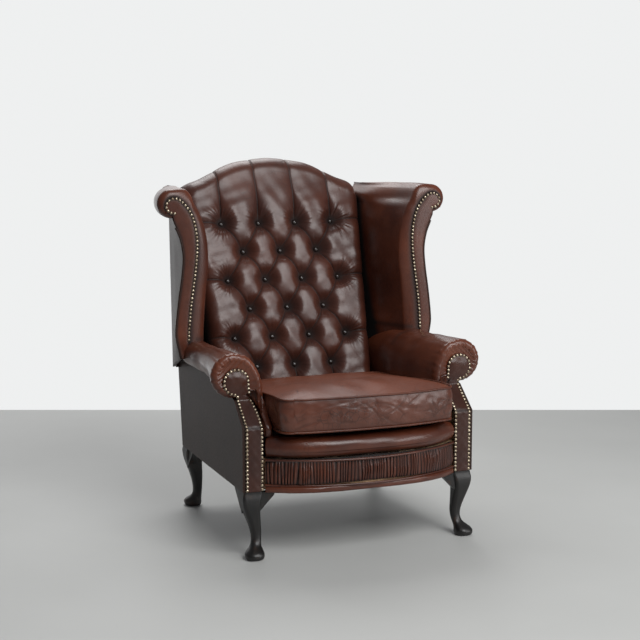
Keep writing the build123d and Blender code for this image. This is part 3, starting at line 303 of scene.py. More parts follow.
def dome(radius: float, height: float, sides: int, rings: int) -> tuple[Array, list[list[int]]]:
    """Low dome over the xy plane: rings shrink as the sine and rise as the cosine of one angle."""
    angle = np.linspace(math.pi / 2, 0, rings + 1)[:-1, None]
    turn = np.linspace(0, 2 * math.pi, sides, endpoint=False)
    spread = radius * np.sin(angle)
    rise = np.repeat(height * np.cos(angle), sides, 1)
    flat = np.stack([spread * np.cos(turn), spread * np.sin(turn), rise], axis=-1).reshape(-1, 3)
    points = np.vstack([flat, [[0, 0, height]], [[0, 0, -0.3 * height]]])
    faces = []
    for ring in range(rings - 1):
        for k in range(sides):
            a, b = ring * sides + k, ring * sides + (k + 1) % sides
            faces.append([a, b, b + sides, a + sides])
    last = (rings - 1) * sides
    for k in range(sides):
        after = (k + 1) % sides
        faces += [[last + k, last + after, last + sides], [after, k, last + sides + 1]]
    return points, faces


def studded(
    name: str, places: Array, facing: Array, size: tuple[float, float], finish: Material, slot: str,
    sides: int = 12, rings: int = 3,
) -> bpy.types.Object:
    """One object on the chair's body with a dome at every place, turned to its direction.

    Args:
        name: Object name.
        places: Feet of the domes (n, 3).
        facing: Directions that they point to (n, 3).
        size: Radius and height of a dome.
        finish: Its material.
        slot: Not used.
        sides: Faces round a dome.
        rings: Rings up a dome.

    Returns:
        The joined object.
    """
    shape, faces = dome(*size, sides, rings)
    up = unit(facing)
    aside = unit(np.cross(up, np.where(np.abs(up[:, 2:3]) > 0.9, [[1.0, 0, 0]], [[0, 0, 1.0]])))
    axes = np.stack([aside, np.cross(up, aside), up], axis=1)
    points = (places[:, None] + np.einsum("pk,nkc->npc", shape, axes)).reshape(-1, 3)
    cover = Cover()
    cover.points = [points]
    cover.faces = [[v + step * len(shape) for v in face] for step in range(len(places)) for face in faces]
    cover.painted_shade = cover.rub = [np.zeros(len(points))]
    return cover.piece(name, "chair", finish, slot)


def nail_places(line: Array, pitch: float) -> Array:
    """Nail places along a smooth line (n, 3), about one pitch apart."""
    return along(line, max(2, int(round(run_along(line)[-1] / pitch)) + 1))


class Nodes:
    """Short hand for laying nodes in a tree."""

    def __init__(self, tree: bpy.types.NodeTree) -> None:
        """Keep the tree and clear it."""
        self.tree = tree
        tree.nodes.clear()

    def add(self, kind: str, **values: object) -> bpy.types.Node:
        """Add a node; values are its properties, or else its inputs, with _ for a space."""
        node = self.tree.nodes.new(kind)
        for key, value in values.items():
            if hasattr(node, key):
                setattr(node, key, value)
            else:
                node.inputs[key.replace("_", " ")].default_value = value
        return node

    def link(self, start: Socket, end: Socket) -> None:
        """Join an output to an input."""
        self.tree.links.new(start, end)

    def place(self) -> Socket:
        """The Object coordinates."""
        return self.add("ShaderNodeTexCoord").outputs["Object"]

    def texture(self, kind: str, place: Socket, **values: object) -> bpy.types.Node:
        """A texture of a kind, such as Noise, that is read at a place."""
        node = self.add(f"ShaderNodeTex{kind}", **values)
        self.link(place, node.inputs["Vector"])
        return node

    def maths(self, operation: str, a: object, b: object, clamp: bool = False) -> Socket:
        """A maths node on two sockets or numbers."""
        node = self.add("ShaderNodeMath", operation=operation, use_clamp=clamp)
        for socket, value in zip(node.inputs, (a, b)):
            if isinstance(value, Socket):
                self.link(value, socket)
            else:
                socket.default_value = value
        return node.outputs[0]

    def mix(self, factor: Socket, a: Socket | Triple, b: Triple) -> Socket:
        """A mix of two colours by a factor."""
        node = self.add("ShaderNodeMix", data_type="RGBA")
        self.link(factor, node.inputs[0])
        for socket, value in ((node.inputs[6], a), (node.inputs[7], b)):
            if isinstance(value, Socket):
                self.link(value, socket)
            else:
                socket.default_value = (*value, 1)
        return node.outputs[2]

    def stretch(
        self, value: Socket, low: float, high: float, bottom: float = 0.0, top: float = 1.0
    ) -> Socket:
        """A clamped map of a value from one range to another."""
        node = self.add("ShaderNodeMapRange", clamp=True)
        self.link(value, node.inputs[0])
        for socket, number in zip(node.inputs[1:5], (low, high, bottom, top)):
            socket.default_value = number
        return node.outputs[0]

    def bump(self, height: Socket, shader: bpy.types.Node, strength: float, distance: float) -> None:
        """Let a height tilt a shader's normals."""
        node = self.add("ShaderNodeBump", Strength=strength, Distance=distance)
        self.link(height, node.inputs["Height"])
        self.link(node.outputs["Normal"], shader.inputs["Normal"])


def new_material(name: str, **values: object) -> tuple[Material, Nodes, bpy.types.Node]:
    """A material with its node helper and its Principled shader, whose inputs take the values."""
    material = bpy.data.materials.new(name)
    material.use_nodes = True
    nodes = Nodes(material.node_tree)
    shader = nodes.add("ShaderNodeBsdfPrincipled", **values)
    nodes.link(shader.outputs[0], nodes.add("ShaderNodeOutputMaterial").inputs[0])
    return material, nodes, shader


def hide_group() -> bpy.types.NodeTree:
    """Leather as a group: pores, fine creases and cloudy shade over the surface.

    Returns:
        The group, with the outputs Height, Cloud, Veins and Fine.
    """
    tree = bpy.data.node_groups.new("aniline_hide", "ShaderNodeTree")
    for label, value in (("Pore Scale", 620.0), ("Crease Scale", 34.0), ("Crease Depth", 0.5)):
        socket = tree.interface.new_socket(name=label, in_out="INPUT", socket_type="NodeSocketFloat")
        socket.default_value = value
    for label in ("Height", "Cloud", "Veins", "Fine"):
        tree.interface.new_socket(name=label, in_out="OUTPUT", socket_type="NodeSocketFloat")
    nodes = Nodes(tree)
    inside, out = nodes.add("NodeGroupInput"), nodes.add("NodeGroupOutput")
    place = nodes.place()
    sway = nodes.texture("Noise", place, Scale=14.0, Detail=3.0)
    moved = nodes.add("ShaderNodeVectorMath", operation="MULTIPLY_ADD")
    nodes.link(sway.outputs["Color"], moved.inputs[0])
    moved.inputs[1].default_value = (0.03, 0.03, 0.03)
    nodes.link(place, moved.inputs[2])
    pores = nodes.texture("Voronoi", place, feature="SMOOTH_F1", Smoothness=0.35)
    nodes.link(inside.outputs["Pore Scale"], pores.inputs["Scale"])
    lines = nodes.texture("Voronoi", moved.outputs[0], feature="DISTANCE_TO_EDGE", Randomness=1.0)
    nodes.link(inside.outputs["Crease Scale"], lines.inputs["Scale"])
    where = nodes.texture("Noise", place, Scale=9.0, Detail=2.0)
    thin = nodes.stretch(lines.outputs["Distance"], 0.0, 0.06, 1.0, 0.0)
    veins = nodes.maths("MULTIPLY", thin, nodes.stretch(where.outputs["Fac"], 0.45, 0.62))
    cloud = nodes.texture("Noise", place, Scale=6.5, Detail=6.0, Roughness=0.62)
    fine = nodes.texture("Noise", place, Scale=180.0, Detail=4.0)
    height = nodes.maths("MULTIPLY", pores.outputs["Distance"], 0.00022)
    sunk = nodes.maths("MULTIPLY", veins, inside.outputs["Crease Depth"])
    for part, much in ((sunk, -0.0006), (fine.outputs["Fac"], 0.0002)):
        height = nodes.maths("ADD", height, nodes.maths("MULTIPLY", part, much))
    nodes.link(height, out.inputs["Height"])
    nodes.link(cloud.outputs["Fac"], out.inputs["Cloud"])
    nodes.link(veins, out.inputs["Veins"])
    nodes.link(fine.outputs["Fac"], out.inputs["Fine"])
    return tree


@dataclass(frozen=True)
class Leather:
    """Waxed antique leather, rubbed back to red brown where it stands out, with painted shade: the deep
    colour is laid where the mesh marks creases, pits and gaps.
    """

    name: str
    # The deep colour is painted shade, laid where the mesh marks creases, pits and the gaps between parts.
    deep: Triple = (0.0022, 0.0010, 0.0008)
    body: Triple = (0.050, 0.0120, 0.0060)
    rubbed: Triple = (0.185, 0.050, 0.022)
    wear: float = 0.45
    gloss: float = 0.34
    shine: float = 0.45
    crease_scale: float = 34.0
    crease_depth: float = 0.5
    relief: float = 0.35
    wax: float = 0.20
    wax_rough: float = 0.23

    def made(self, hide: bpy.types.NodeTree) -> Material:
        """Build the material round the shared hide group."""
        material, nodes, shader = new_material(
            self.name, IOR=1.48, Specular_IOR_Level=self.shine, Coat_Roughness=self.wax_rough,
            Diffuse_Roughness=0.4,
        )
        group = nodes.add("ShaderNodeGroup", node_tree=hide)
        group.inputs["Crease Scale"].default_value = self.crease_scale
        group.inputs["Crease Depth"].default_value = self.crease_depth
        fold, rub = (
            nodes.add("ShaderNodeAttribute", attribute_name=name).outputs["Fac"] for name in ("painted_shade", "rub")
        )
        cloud = nodes.maths("MULTIPLY", nodes.stretch(group.outputs["Cloud"], 0.38, 0.68), 0.42)
        shown = nodes.maths("ADD", nodes.maths("MULTIPLY", rub, self.wear), cloud, clamp=True)
        veins = nodes.maths("MULTIPLY", group.outputs["Veins"], 0.55 * self.crease_depth)
        # Painted shade from the mesh, with the hide's own vein lines, pulls the colour towards deep.
        shade_and_veins = nodes.maths("MAXIMUM", fold, veins, clamp=True)
        tone = nodes.mix(shade_and_veins, nodes.mix(shown, self.body, self.rubbed), self.deep)
        nodes.link(tone, shader.inputs["Base Color"])
        rough = nodes.maths("ADD", nodes.maths("MULTIPLY", group.outputs["Fine"], 0.16), self.gloss - 0.1)
        rough = nodes.maths("ADD", rough, nodes.maths("MULTIPLY", fold, 0.42), clamp=True)
        nodes.link(rough, shader.inputs["Roughness"])
        nodes.link(nodes.stretch(fold, 0.0, 0.8, self.wax, 0.0), shader.inputs["Coat Weight"])
        nodes.bump(group.outputs["Height"], shader, self.relief, 1.0)
        return material


@dataclass(frozen=True)
class Wood:
    """Stained or bare timber with grain along the height and worn patches."""

    name: str
    dark: Triple
    light: Triple
    worn: Triple
    wear: float
    gloss: float
    varnish: float

    def made(self) -> Material:
        """Grain from noise stretched along the height, wear from coarser noise."""
        material, nodes, shader = new_material(self.name, Coat_Weight=self.varnish, Coat_Roughness=0.22)
        place = nodes.place()
        turn = nodes.add("ShaderNodeMapping", Scale=(1.0, 1.0, 0.12))
        nodes.link(place, turn.inputs["Vector"])
        grain = nodes.texture("Noise", turn.outputs[0], Scale=130.0, Detail=5.0, Distortion=0.6)
        body = nodes.mix(nodes.stretch(grain.outputs["Fac"], 0.35, 0.7), self.dark, self.light)
        patches = nodes.texture("Noise", place, Scale=26.0, Detail=6.0, Roughness=0.7).outputs["Fac"]
        spots = nodes.maths("MULTIPLY", nodes.stretch(patches, 0.56, 0.74), self.wear)
        nodes.link(nodes.mix(spots, body, self.worn), shader.inputs["Base Color"])
        rough = nodes.maths("ADD", nodes.maths("MULTIPLY", patches, 0.2), self.gloss - 0.1, clamp=True)
        nodes.link(rough, shader.inputs["Roughness"])
        nodes.bump(grain.outputs["Fac"], shader, 0.35, 0.0006)
        return material


@dataclass(frozen=True)
class Cloth:
    """Plain woven lining or jute webbing."""

    name: str
    dark: Triple
    light: Triple
    threads: float

    def made(self) -> Material:
        """Weave from two crossed waves."""
        material, nodes, shader = new_material(self.name, Roughness=0.9, Sheen_Weight=0.2)
        place = nodes.place()
        waves = (
            nodes.texture("Wave", place, bands_direction=way, Scale=self.threads, Distortion=1.2, Detail=1.0)
            for way in ("X", "Y")
        )
        weave = nodes.maths("MULTIPLY", *(wave.outputs["Fac"] for wave in waves))
        nodes.link(nodes.mix(weave, self.dark, self.light), shader.inputs["Base Color"])
        nodes.bump(weave, shader, 0.6, 0.0008)
        return material


@dataclass(frozen=True)
class Brass:
    """Old brass of the dome nails, browned between the bright tops."""

    name: str = "nail_brass"
    bright: Triple = (0.56, 0.48, 0.36)
    browned: Triple = (0.17, 0.12, 0.080)

    def made(self) -> Material:
        """Metal whose tone changes with noise a few millimetres across."""
        material, nodes, shader = new_material(self.name, Metallic=1.0)
        stain = nodes.texture("Noise", nodes.place(), Scale=170.0, Detail=4.0).outputs["Fac"]
        tone = nodes.stretch(stain, 0.4, 0.65)
        nodes.link(nodes.mix(tone, self.bright, self.browned), shader.inputs["Base Color"])
        nodes.link(nodes.stretch(stain, 0.3, 0.7, 0.28, 0.5), shader.inputs["Roughness"])
        nodes.bump(stain, shader, 0.3, 0.0004)
        return material


BACK_RAKE = 0.3619
BACK_BASE_Y = -0.0045
BACK_SLANT = math.hypot(1.0, BACK_RAKE)
BACK_NORMAL = np.array([0.0, -1.0, BACK_RAKE]) / BACK_SLANT
ARM_FOOT_Y = -0.361
ARM_FACE_Y = -0.287
KINK_LOW, KINK_HIGH = 0.366, 0.432
BOW_RADIUS = 0.54062
BOW_CENTRE_Y = 0.08762
BOW_HALF = 0.2905
BOW_FRONT_Y = -0.447


def back_y(z: Array) -> Array:
    """Depth of the leaning plane of the buttons at a height."""
    return BACK_BASE_Y + BACK_RAKE * z


def rear_y(z: Array) -> Array:
    """Depth of the outside back at a height: two straight runs that meet at arm level."""
    return 0.300 + (z - 0.435) * np.where(z < 0.435, 0.1538, 0.2410)


def back_half(z: Array) -> Array:
    """Half width of the inside back at a height."""
    return 0.2555 + (z - 0.340) / 0.648 * 0.0425


def crest_z(x: Array) -> Array:
    """Height of the camel-back crest over the chair's width: a line through eight heights, worn smooth."""
    knots = np.array([0.0, 0.06, 0.12, 0.16, 0.20, 0.228, 0.26, 0.298])
    heights = np.array([1.070, 1.066, 1.055, 1.041, 1.021, 1.007, 0.996, 0.989])
    here, inner, outer = (
        np.interp(np.abs(np.abs(x) + step), knots, heights) for step in (0.0, -0.012, 0.012)
    )
    return 0.5 * (here + 0.5 * (inner + outer))


def facing_y(z: Array) -> Array:
    """Depth of the arm facing: upright, leaning back above the kink, then upright at the scroll."""
    return np.interp(z, [0.0, KINK_LOW, KINK_HIGH, 1.2], [ARM_FOOT_Y, ARM_FOOT_Y, ARM_FACE_Y, ARM_FACE_Y])


def bow_points(turn: Array, inset: Array, z: Array) -> Array:
    """Points on the bowed front: an angle round the bow's middle, a distance behind its face, a height.

    The face is a circle, pushed to front + rise * share ^ 3.2, which is fuller towards its ends; the lines
    under the roll rise a little towards the middle.
    """
    reach = BOW_RADIUS - inset
    share = np.clip(np.abs(np.sin(turn)) * BOW_RADIUS / BOW_HALF, 0.0, 1.0)
    circle = BOW_CENTRE_Y - BOW_RADIUS * np.cos(turn)
    fuller = BOW_FRONT_Y + 0.079 * share**3.2 - circle
    lifted = z + 0.0030 * (1 - share**2) * (np.asarray(z) < 0.30)
    y = BOW_CENTRE_Y - reach * np.cos(turn) + fuller
    return np.stack(np.broadcast_arrays(reach * np.sin(turn), y, lifted), axis=-1)


class Row(Enum):
    """Rows of the buttoned back, by how many buttons they hold."""

    FOUR = 4
    THREE = 3


@dataclass
class BackPad:
    """The deep-buttoned inside back with its camel-back crest."""

    pitch: float = 0.1235
    top: float = 0.874
    drop: float = 0.0864
    base: float = 0.338
    puff: float = 0.031
    reach: float = 0.050
    crest: float = 0.036
    tucked: float = 0.030
    crest_half: float = 0.298
    across: int = 380
    upward: int = 310
    over: int = 46

    def buttons(self) -> Array:
        """Button places (n, 2): half-way apart on a plane measured across and up the slope."""
        return np.array([
            ((k - (row.value - 1) / 2) * self.pitch, (self.top - index * self.drop) * BACK_SLANT)
            for index, row in enumerate([Row.FOUR, Row.THREE] * 3) for k in range(row.value)
        ])

    def pleats(self) -> list[tuple[Array, Array, float]]:
        """Folds between the buttons and out to the edges, each with how far it lifts at its open end."""
        spots = self.buttons()
        step = np.array([self.pitch / 2, -self.drop * BACK_SLANT])
        folds = [
            (a, b, 0.0) for a in spots for b in spots
            if np.allclose((abs(b[0] - a[0]), b[1] - a[1]), step, rtol=0, atol=1e-6)
        ]
        first, last, edge = spots[:, 1].max(), spots[:, 1].min(), self.pitch * 1.5
        for x, s in spots:
            ends = (
                (abs(s - first), (x * 0.985, s + 0.36), 0.72),
                (abs(s - last), (x, s - 0.2), 0.3),
                (abs(abs(x) - edge), (x + math.copysign(0.12, x), s + 0.006), 0.55),
            )
            folds += [(np.array([x, s]), np.array(end), high) for gap, end, high in ends if gap < 1e-6]
        return folds

    def relief(self, x: Array, s: Array) -> tuple[Array, Array]:
        """Height over the button plane and closeness to a fold.

        The height is puff times the product over all folds of 1 - (1 - lift) * (1 - crown(distance)), where
        the lift is a sine along the fold, so a pleat is deepest at its buttons. A Gaussian draws each button
        into a pit, and puckers are sines of the angle round it.

        Args:
            x: Place across the back.
            s: Place up the slope.

        Returns:
            Heights, and a 0 to 1 painted shade: dark along each pleat's tuck, in a wide halo round each
                button, in the puckers' troughs and along the wrinkles near the sides.
        """
        open_share, tuck = np.ones(x.shape), np.zeros(x.shape)
        for start, end, high in self.pleats():
            near, share = to_segment(x, s, start, end)
            lift = high * ease(share * 3.0) if high > 0 else 0.60 * np.sin(math.pi * share) ** 0.7
            open_share = open_share * (1 - (1 - lift) * (1 - crown(near, self.reach)))
            tuck = np.maximum(tuck, bell(near, 0.0023) * (1 - 0.25 * lift))
        # The fold measure is painted shade, first the thin dark line of each tuck.
        height, fold = self.puff * open_share - 0.0016 * tuck, 0.9 * tuck
        random = np.random.default_rng(11)
        for bx, bs in self.buttons():
            dx, ds = x - bx, s - bs
            away, round_it = np.hypot(dx, ds), np.arctan2(ds, dx)
            pucker = np.zeros(x.shape)
            for rate in (13, 19, 27, 35):
                pucker += np.sin(rate * round_it + random.uniform(0, FULL_TURN)) * random.uniform(0.5, 1.0)
            at_side, at_top = abs(bx) > self.pitch * 1.4, bs > self.top * BACK_SLANT - 1e-3
            outward = 1 + 0.9 * ease((np.sign(bx) * dx + 0.01) / 0.03) * at_side + 0.5 * at_top
            pucker *= bell(away - 0.022, 0.017 * (1 + 0.5 * (outward - 1))) * outward
            height = (height + 0.00048 * pucker) * (1 - 0.45 * bell(away, 0.021))
            height = height - 0.0052 * bell(away, 0.0130)
            # Painted shade: a wide dark halo round each button's pit and in the puckers' troughs.
            halo = np.exp(-((away / 0.0215) ** 2.2))
            fold = np.maximum(fold, np.maximum(halo, 0.30 * np.clip(-pucker - 0.2, 0, 1)))
        lines = creases(s, x * 0.6, 5, 90, 0.0016, 0.012, 1.3) * np.clip((np.abs(x) - 0.16) / 0.05, 0, 1)
        height = height - 0.0007 * lines + 0.0009 * ripple(x * 26, s * 26, 3)
        return height, np.clip(fold + 0.18 * lines, 0, 1)

    def build(self, leather: Material) -> bpy.types.Object:
        """Cover the pad: up the face, over the crest in a half round, and closed behind.

        The face is the leaning plane plus the relief along its normal. Over the crest the line from the
        front edge F to the rear edge R is F + (R - F) * (1 - cos a) / 2 + crest * sin a, with the relief
        fading away.
        """
        bend = math.pi / 2 * 0.86
        u = np.sin(np.linspace(-1, 1, self.across) * bend) / math.sin(bend)
        x_top = u * self.crest_half
        lean = np.array([0.0, 0.30, 0.954])
        face_end = crest_z(x_top) - self.crest * lean[2]
        z = self.base + np.linspace(0, 1, self.upward)[:, None] * (face_end - self.base)[None, :]
        x = u[None, :] * back_half(z)
        height, fold = self.relief(x, z * BACK_SLANT)
        side = back_half(z) - np.abs(x)
        tuck = crown(side, 0.045, 2.4, 1.9)
        height = (height + self.tucked) * tuck - self.tucked
        fall = 1 - 0.45 * ease((z - (face_end[None, :] - 0.11)) / 0.11)
        face = np.stack([x, back_y(z), z], axis=-1) + (height * fall)[..., None] * BACK_NORMAL
        turn = np.linspace(0, math.pi, self.over)[1:, None]
        front = face[-1] - (height[-1] * fall[-1])[:, None] * BACK_NORMAL
        rear_z = face_end - 0.004
        rear = np.stack([x_top * 0.992, rear_y(rear_z) + 0.001, rear_z], axis=-1)
        up = np.sin(turn)[..., None] * lean
        body = front[None] + (rear - front)[None] * ((1 - np.cos(turn)) / 2)[..., None] + self.crest * up
        lifted, folded = self.relief(
            x[-1][None, :] * np.ones_like(turn), z[-1][None, :] * BACK_SLANT + turn * self.crest
        )
        out = np.where(turn[..., None] > math.pi / 2, up, np.cos(turn)[..., None] * BACK_NORMAL + up)
        edge = tuck[-1][None, :]
        rise = (lifted * edge * 0.55 - self.tucked * (1 - edge)) * (1 - ease(turn / math.pi * 1.1))
        rise = rise - 0.0035 * folded * np.sin(turn) ** 0.5
        points = np.vstack([face, body + rise[..., None] * out])
        # Painted shade along the side edges, where the back meets the wings, and in the crest's folds.
        side_shade = 0.9 * (1 - ease(np.vstack([side, np.repeat(side[-1:], len(turn), 0)]) / 0.02)) ** 2
        deep = np.maximum(np.vstack([fold, folded * 0.85]), side_shade)
        worn = np.vstack([ease((height / self.puff - 0.62) / 0.38) * 0.55, np.full(folded.shape, 0.5)])
        cover = Cover()
        number = cover.grid(points, painted_shade=deep, rub=worn)
        rim = np.concatenate([number[0], number[1:, -1], number[-1, ::-1][1:], number[1:-1, 0][::-1]])
        inner = points.reshape(-1, 3)[rim]
        middle = inner.mean(axis=0)
        behind = middle + (inner - middle) * 0.97 + np.array([0, 0.012, 0])
        behind[:, 1] = np.maximum(behind[:, 1], back_y(behind[:, 2]) + 0.022)
        hoop = np.vstack([rim, cover.grid(behind[None])[0]])
        after = np.roll(hoop, -1, axis=1)
        cover.faces += np.stack([hoop[0], after[0], after[1], hoop[1]], axis=-1).tolist()
        deepest = max(middle[1] + 0.02, float(back_y(middle[2])) + 0.03)
        cover.cap(hoop[1], np.array([middle[0], deepest, middle[2]]))
        made = cover.piece("buttoned_back", "chair", leather, "leather")
        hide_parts("inside_back")
        return made

    def build_buttons(self, leather: Material) -> bpy.types.Object:
        """Covered buttons: low domes pressed into the folds."""
        x, z = (self.buttons() / [1.0, BACK_SLANT]).T
        places = np.stack([x, back_y(z), z], axis=-1) - 0.0025 * BACK_NORMAL
        facing = np.repeat(BACK_NORMAL[None], len(places), 0)
        # The buttons take a near-black copy of the back's leather: painted shade of the pits they sit in.
        made = studded("covered_buttons", places, facing, (0.0090, 0.0066), leather, "leather", 24, 6)
        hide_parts("back_buttons")
        return made


@dataclass
class Arm:
    """One rolled arm: inside wall, roll, bent keyhole facing and its nails."""

    side: str
    wall: float = 0.264
    base: float = 0.340
    blend: float = 0.440
    neck: float = 0.432
    back_wall: float = 0.292
    brow: float = 0.305
    end: float = 0.300
    edge: float = 0.013
    head: tuple[float, float] = (0.345, 0.482)
    head_radius: float = 0.039
    nail_pitch: float = 0.0112

    def sections(self, y: Array) -> Array:
        """Roll sections at depths y: the wall, a belly, a brow, then a circle down to the neck.

        Returns:
            Points (rows, columns, 2) as x and z.
        """
        depths = [ARM_FOOT_Y, ARM_FACE_Y, -0.248, -0.185, -0.075, 0.060, 0.226, 0.300]
        radius = softened(y, depths, [0.066, 0.066, 0.059, 0.046, 0.038, 0.037, 0.031, 0.022])
        middle = softened(y, depths, [0.350, 0.350, 0.350, 0.350, 0.353, 0.357, 0.330, 0.318])
        level = softened(y, depths, [0.498, 0.498, 0.502, 0.512, 0.514, 0.513, 0.515, 0.512])
        brow_z = level + radius - 0.016
        knots = [
            (self.wall, self.base), (self.wall, self.base + 0.05), (self.wall, self.blend),
            (self.wall + 0.009, self.blend + 0.5 * (brow_z - self.blend)), (self.brow, brow_z),
        ]
        for angle in range(90, -91, -30):
            turn = math.radians(angle)
            knots.append((middle + radius * math.cos(turn), level + radius * math.sin(turn)))
        knots += [(self.back_wall, self.neck), (self.back_wall, self.base)]
        spread = [np.stack([np.broadcast_to(value, y.shape) for value in knot], axis=-1) for knot in knots]
        return spline(np.stack(spread, axis=1), np.linspace(0.0, len(knots) - 1, (len(knots) - 1) * 12 + 1))

    def build(self, leather: Material) -> bpy.types.Object:
        """Cover wall and roll: sections carried back from the facing, their front edge rolled inwards.

        The rolled edge is an ellipse from the section towards the facing's edge. Radial puckers are sines of
        the place round the section that fade away from the edge.
        """
        edge, rate = self.edge, 0.9
        share = np.linspace(0, 1, 110) ** rate
        y = ARM_FACE_Y + edge + share * (self.end - ARM_FACE_Y - edge)
        ring = self.sections(y)
        start = self.sections(np.array([ARM_FOOT_Y]))[0]
        front = facing_y(start[:, 1])[None, :]
        last = np.minimum(self.end, rear_y(ring[-1, :, 1]) - 0.009)[None, :]
        depth = front + edge + share[:, None] * (last - front - edge)
        spot = np.clip((depth - y[0]) / (y[-1] - y[0]), 0, 1) ** (1 / rate) * (len(y) - 1)
        low = np.clip(spot.astype(int), 0, len(y) - 2)
        column = np.arange(len(start))[None, :]
        flat = between(ring[low, column], ring[low + 1, column], (spot - low)[..., None])
        ahead = unit(np.gradient(flat, axis=1))
        inward = np.stack([ahead[..., 1], -ahead[..., 0]], axis=-1)
        run = run_along(start)[None, :]
        shown = run > 0.02
        close = np.exp(-((depth - depth[:1]) / 0.035))
        pucker = np.sin(run * 330) + 0.7 * np.sin(run * 523 + 1.0) + 0.5 * np.sin(run * 190 + 2.0)
        lines = creases(np.broadcast_to(run, depth.shape), depth, 31, 40, 0.0016, 0.022, 0.8)
        lines = lines * np.exp(-(depth - ARM_FACE_Y) / 0.08)
        height = 0.0007 * pucker * close * shown + 0.0012 * ripple(run * 9, depth * 11, 21) - 0.0006 * lines
        flat = flat - inward * height[..., None]
        turn = np.radians(np.array([128, 112, 98, 86, 74, 62, 50, 38, 25, 12]))[:, None]
        lip = flat[:1] + inward[:1] * (0.014 * (1 - np.cos(turn)))[..., None]
        away = front + edge - (edge + 0.002) * np.sin(turn) + 0.0006 * pucker * np.sin(turn) * shown
        points = np.vstack([stood(lip, away), stood(flat, depth)])
        top = ease((points[..., 2] - 0.47) / 0.07)
        worn = 0.25 + 0.75 * top * np.exp(-np.clip(points[..., 1] - ARM_FACE_Y, 0, 1) / 0.25)
        # Painted shade in the puckers' troughs, in a band where the wing stands on the roll, and low down
        # where the wall goes under the cushion.
        deep = np.clip(-pucker, 0, 2) * 0.10 * np.vstack([np.ones(lip.shape[:2]), close])
        wing_foot_shade = 0.35 * bell(points[..., 1] - 0.040, 0.012) * (points[..., 2] > 0.50)
        deep = deep + wing_foot_shade + 0.4 * ease((0.36 - points[..., 2]) / 0.02)
        cover = Cover()
        cover.grid(on_side(points, self.side), ring=True, lids=True, painted_shade=np.clip(deep, 0, 1), rub=worn)
        made = cover.piece(f"arm_roll_{self.side}", "chair", leather, "leather")
        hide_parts(f"inside_arm_{self.side}")
        return made

    def edges(self, z: Array) -> tuple[Array, Array]:
        """Left and right edge of the facing at heights below its head's middle."""
        x, level = self.head
        below = np.sqrt(np.clip(self.head_radius**2 - (level - z) ** 2, 0, None))
        stem = 0.340 - 0.004 * ease((z - 0.37) / 0.05)
        right = np.maximum(stem, x + below * (z > level - self.head_radius))
        return 0.2935 + 0.0125 * ease((z - 0.385) / 0.09), right

    def outline(self, inset: float) -> tuple[Array, Array]:
        """Matching points on the facing's two edges, bottom to top of the head, drawn in by inset."""
        z_low = np.linspace(0.1885, self.head[1], 120)
        turn = np.radians(np.linspace(0, 88, 40))[1:]
        z = np.concatenate([z_low, self.head[1] + self.head_radius * np.sin(turn)])
        drawn = []
        for low, way in zip(self.edges(z_low), (-1.0, 1.0)):
            x = np.concatenate([low, self.head[0] + way * self.head_radius * np.cos(turn)])
            line = np.stack([x, z], axis=-1)
            ahead = unit(np.gradient(line, axis=0))
            drawn.append(line - inset * way * np.stack([ahead[:, 1], -ahead[:, 0]], axis=-1))
        return drawn[0], drawn[1]

    def build_facing(self, leather: Material) -> bpy.types.Object:
        """Puffed facing: straight rows between its edges, a fourth-power dome, bent at the kink."""
        one, two = self.outline(0.0)
        share = np.linspace(0, 1, 25)[None, :]
        flat = between(one[:, None], two[:, None], share[..., None])
        z = flat[..., 1]
        bulge = dome_across(share)
        run = run_along((one + two) / 2)[:, None]
        head = ease((z - 0.44) / 0.05)
        top = 1 - ease((z - (self.head[1] + 0.012)) / 0.028)
        height = bulge * ((0.0035 + 0.004 * head) * top + 0.0006 * ripple(flat[..., 0] * 90, run * 60, 8))
        kink = bell(z - KINK_LOW, 0.0035)
        points = stood(flat, facing_y(z) - 0.001 - height + 0.0025 * kink)
        # Painted shade in the grooves along both edges and in the bend at the kink.
        groove = bell(2 * share - 1 + 0.93, 0.1) + bell(2 * share - 1 - 0.93, 0.1)
        cover = Cover()
        cover.grid(
            on_side(points, self.side), painted_shade=np.clip(0.9 * groove + 0.6 * kink, 0, 1),
            rub=0.35 * bulge * (0.4 + 0.6 * head),
        )
        made = thickened(cover.piece(f"arm_facing_{self.side}", "chair", leather, "leather"), 0.007)
        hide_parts(f"arm_front_{self.side}")
        return made

    def build_nails(self, brass: Material) -> bpy.types.Object:
        """Two close rows of dome nails that meet over the head of the facing."""
        one, two = self.outline(0.0042)
        flat = np.vstack([one, two[::-1]])
        flat = flat[flat[:, 1] > 0.192]
        places = nail_places(stood(flat, facing_y(flat[:, 1]) - 0.0022), self.nail_pitch)
        slope = (places[:, 2:] > KINK_LOW) & (places[:, 2:] < KINK_HIGH)
        facing = np.where(slope, [[0.0, -0.666, 0.746]], [[0.0, -1.0, 0.0]])
        spots = on_side(places, self.side)
        return studded(f"arm_nails_{self.side}", spots, facing, (0.0050, 0.0036), brass, "nail_brass")


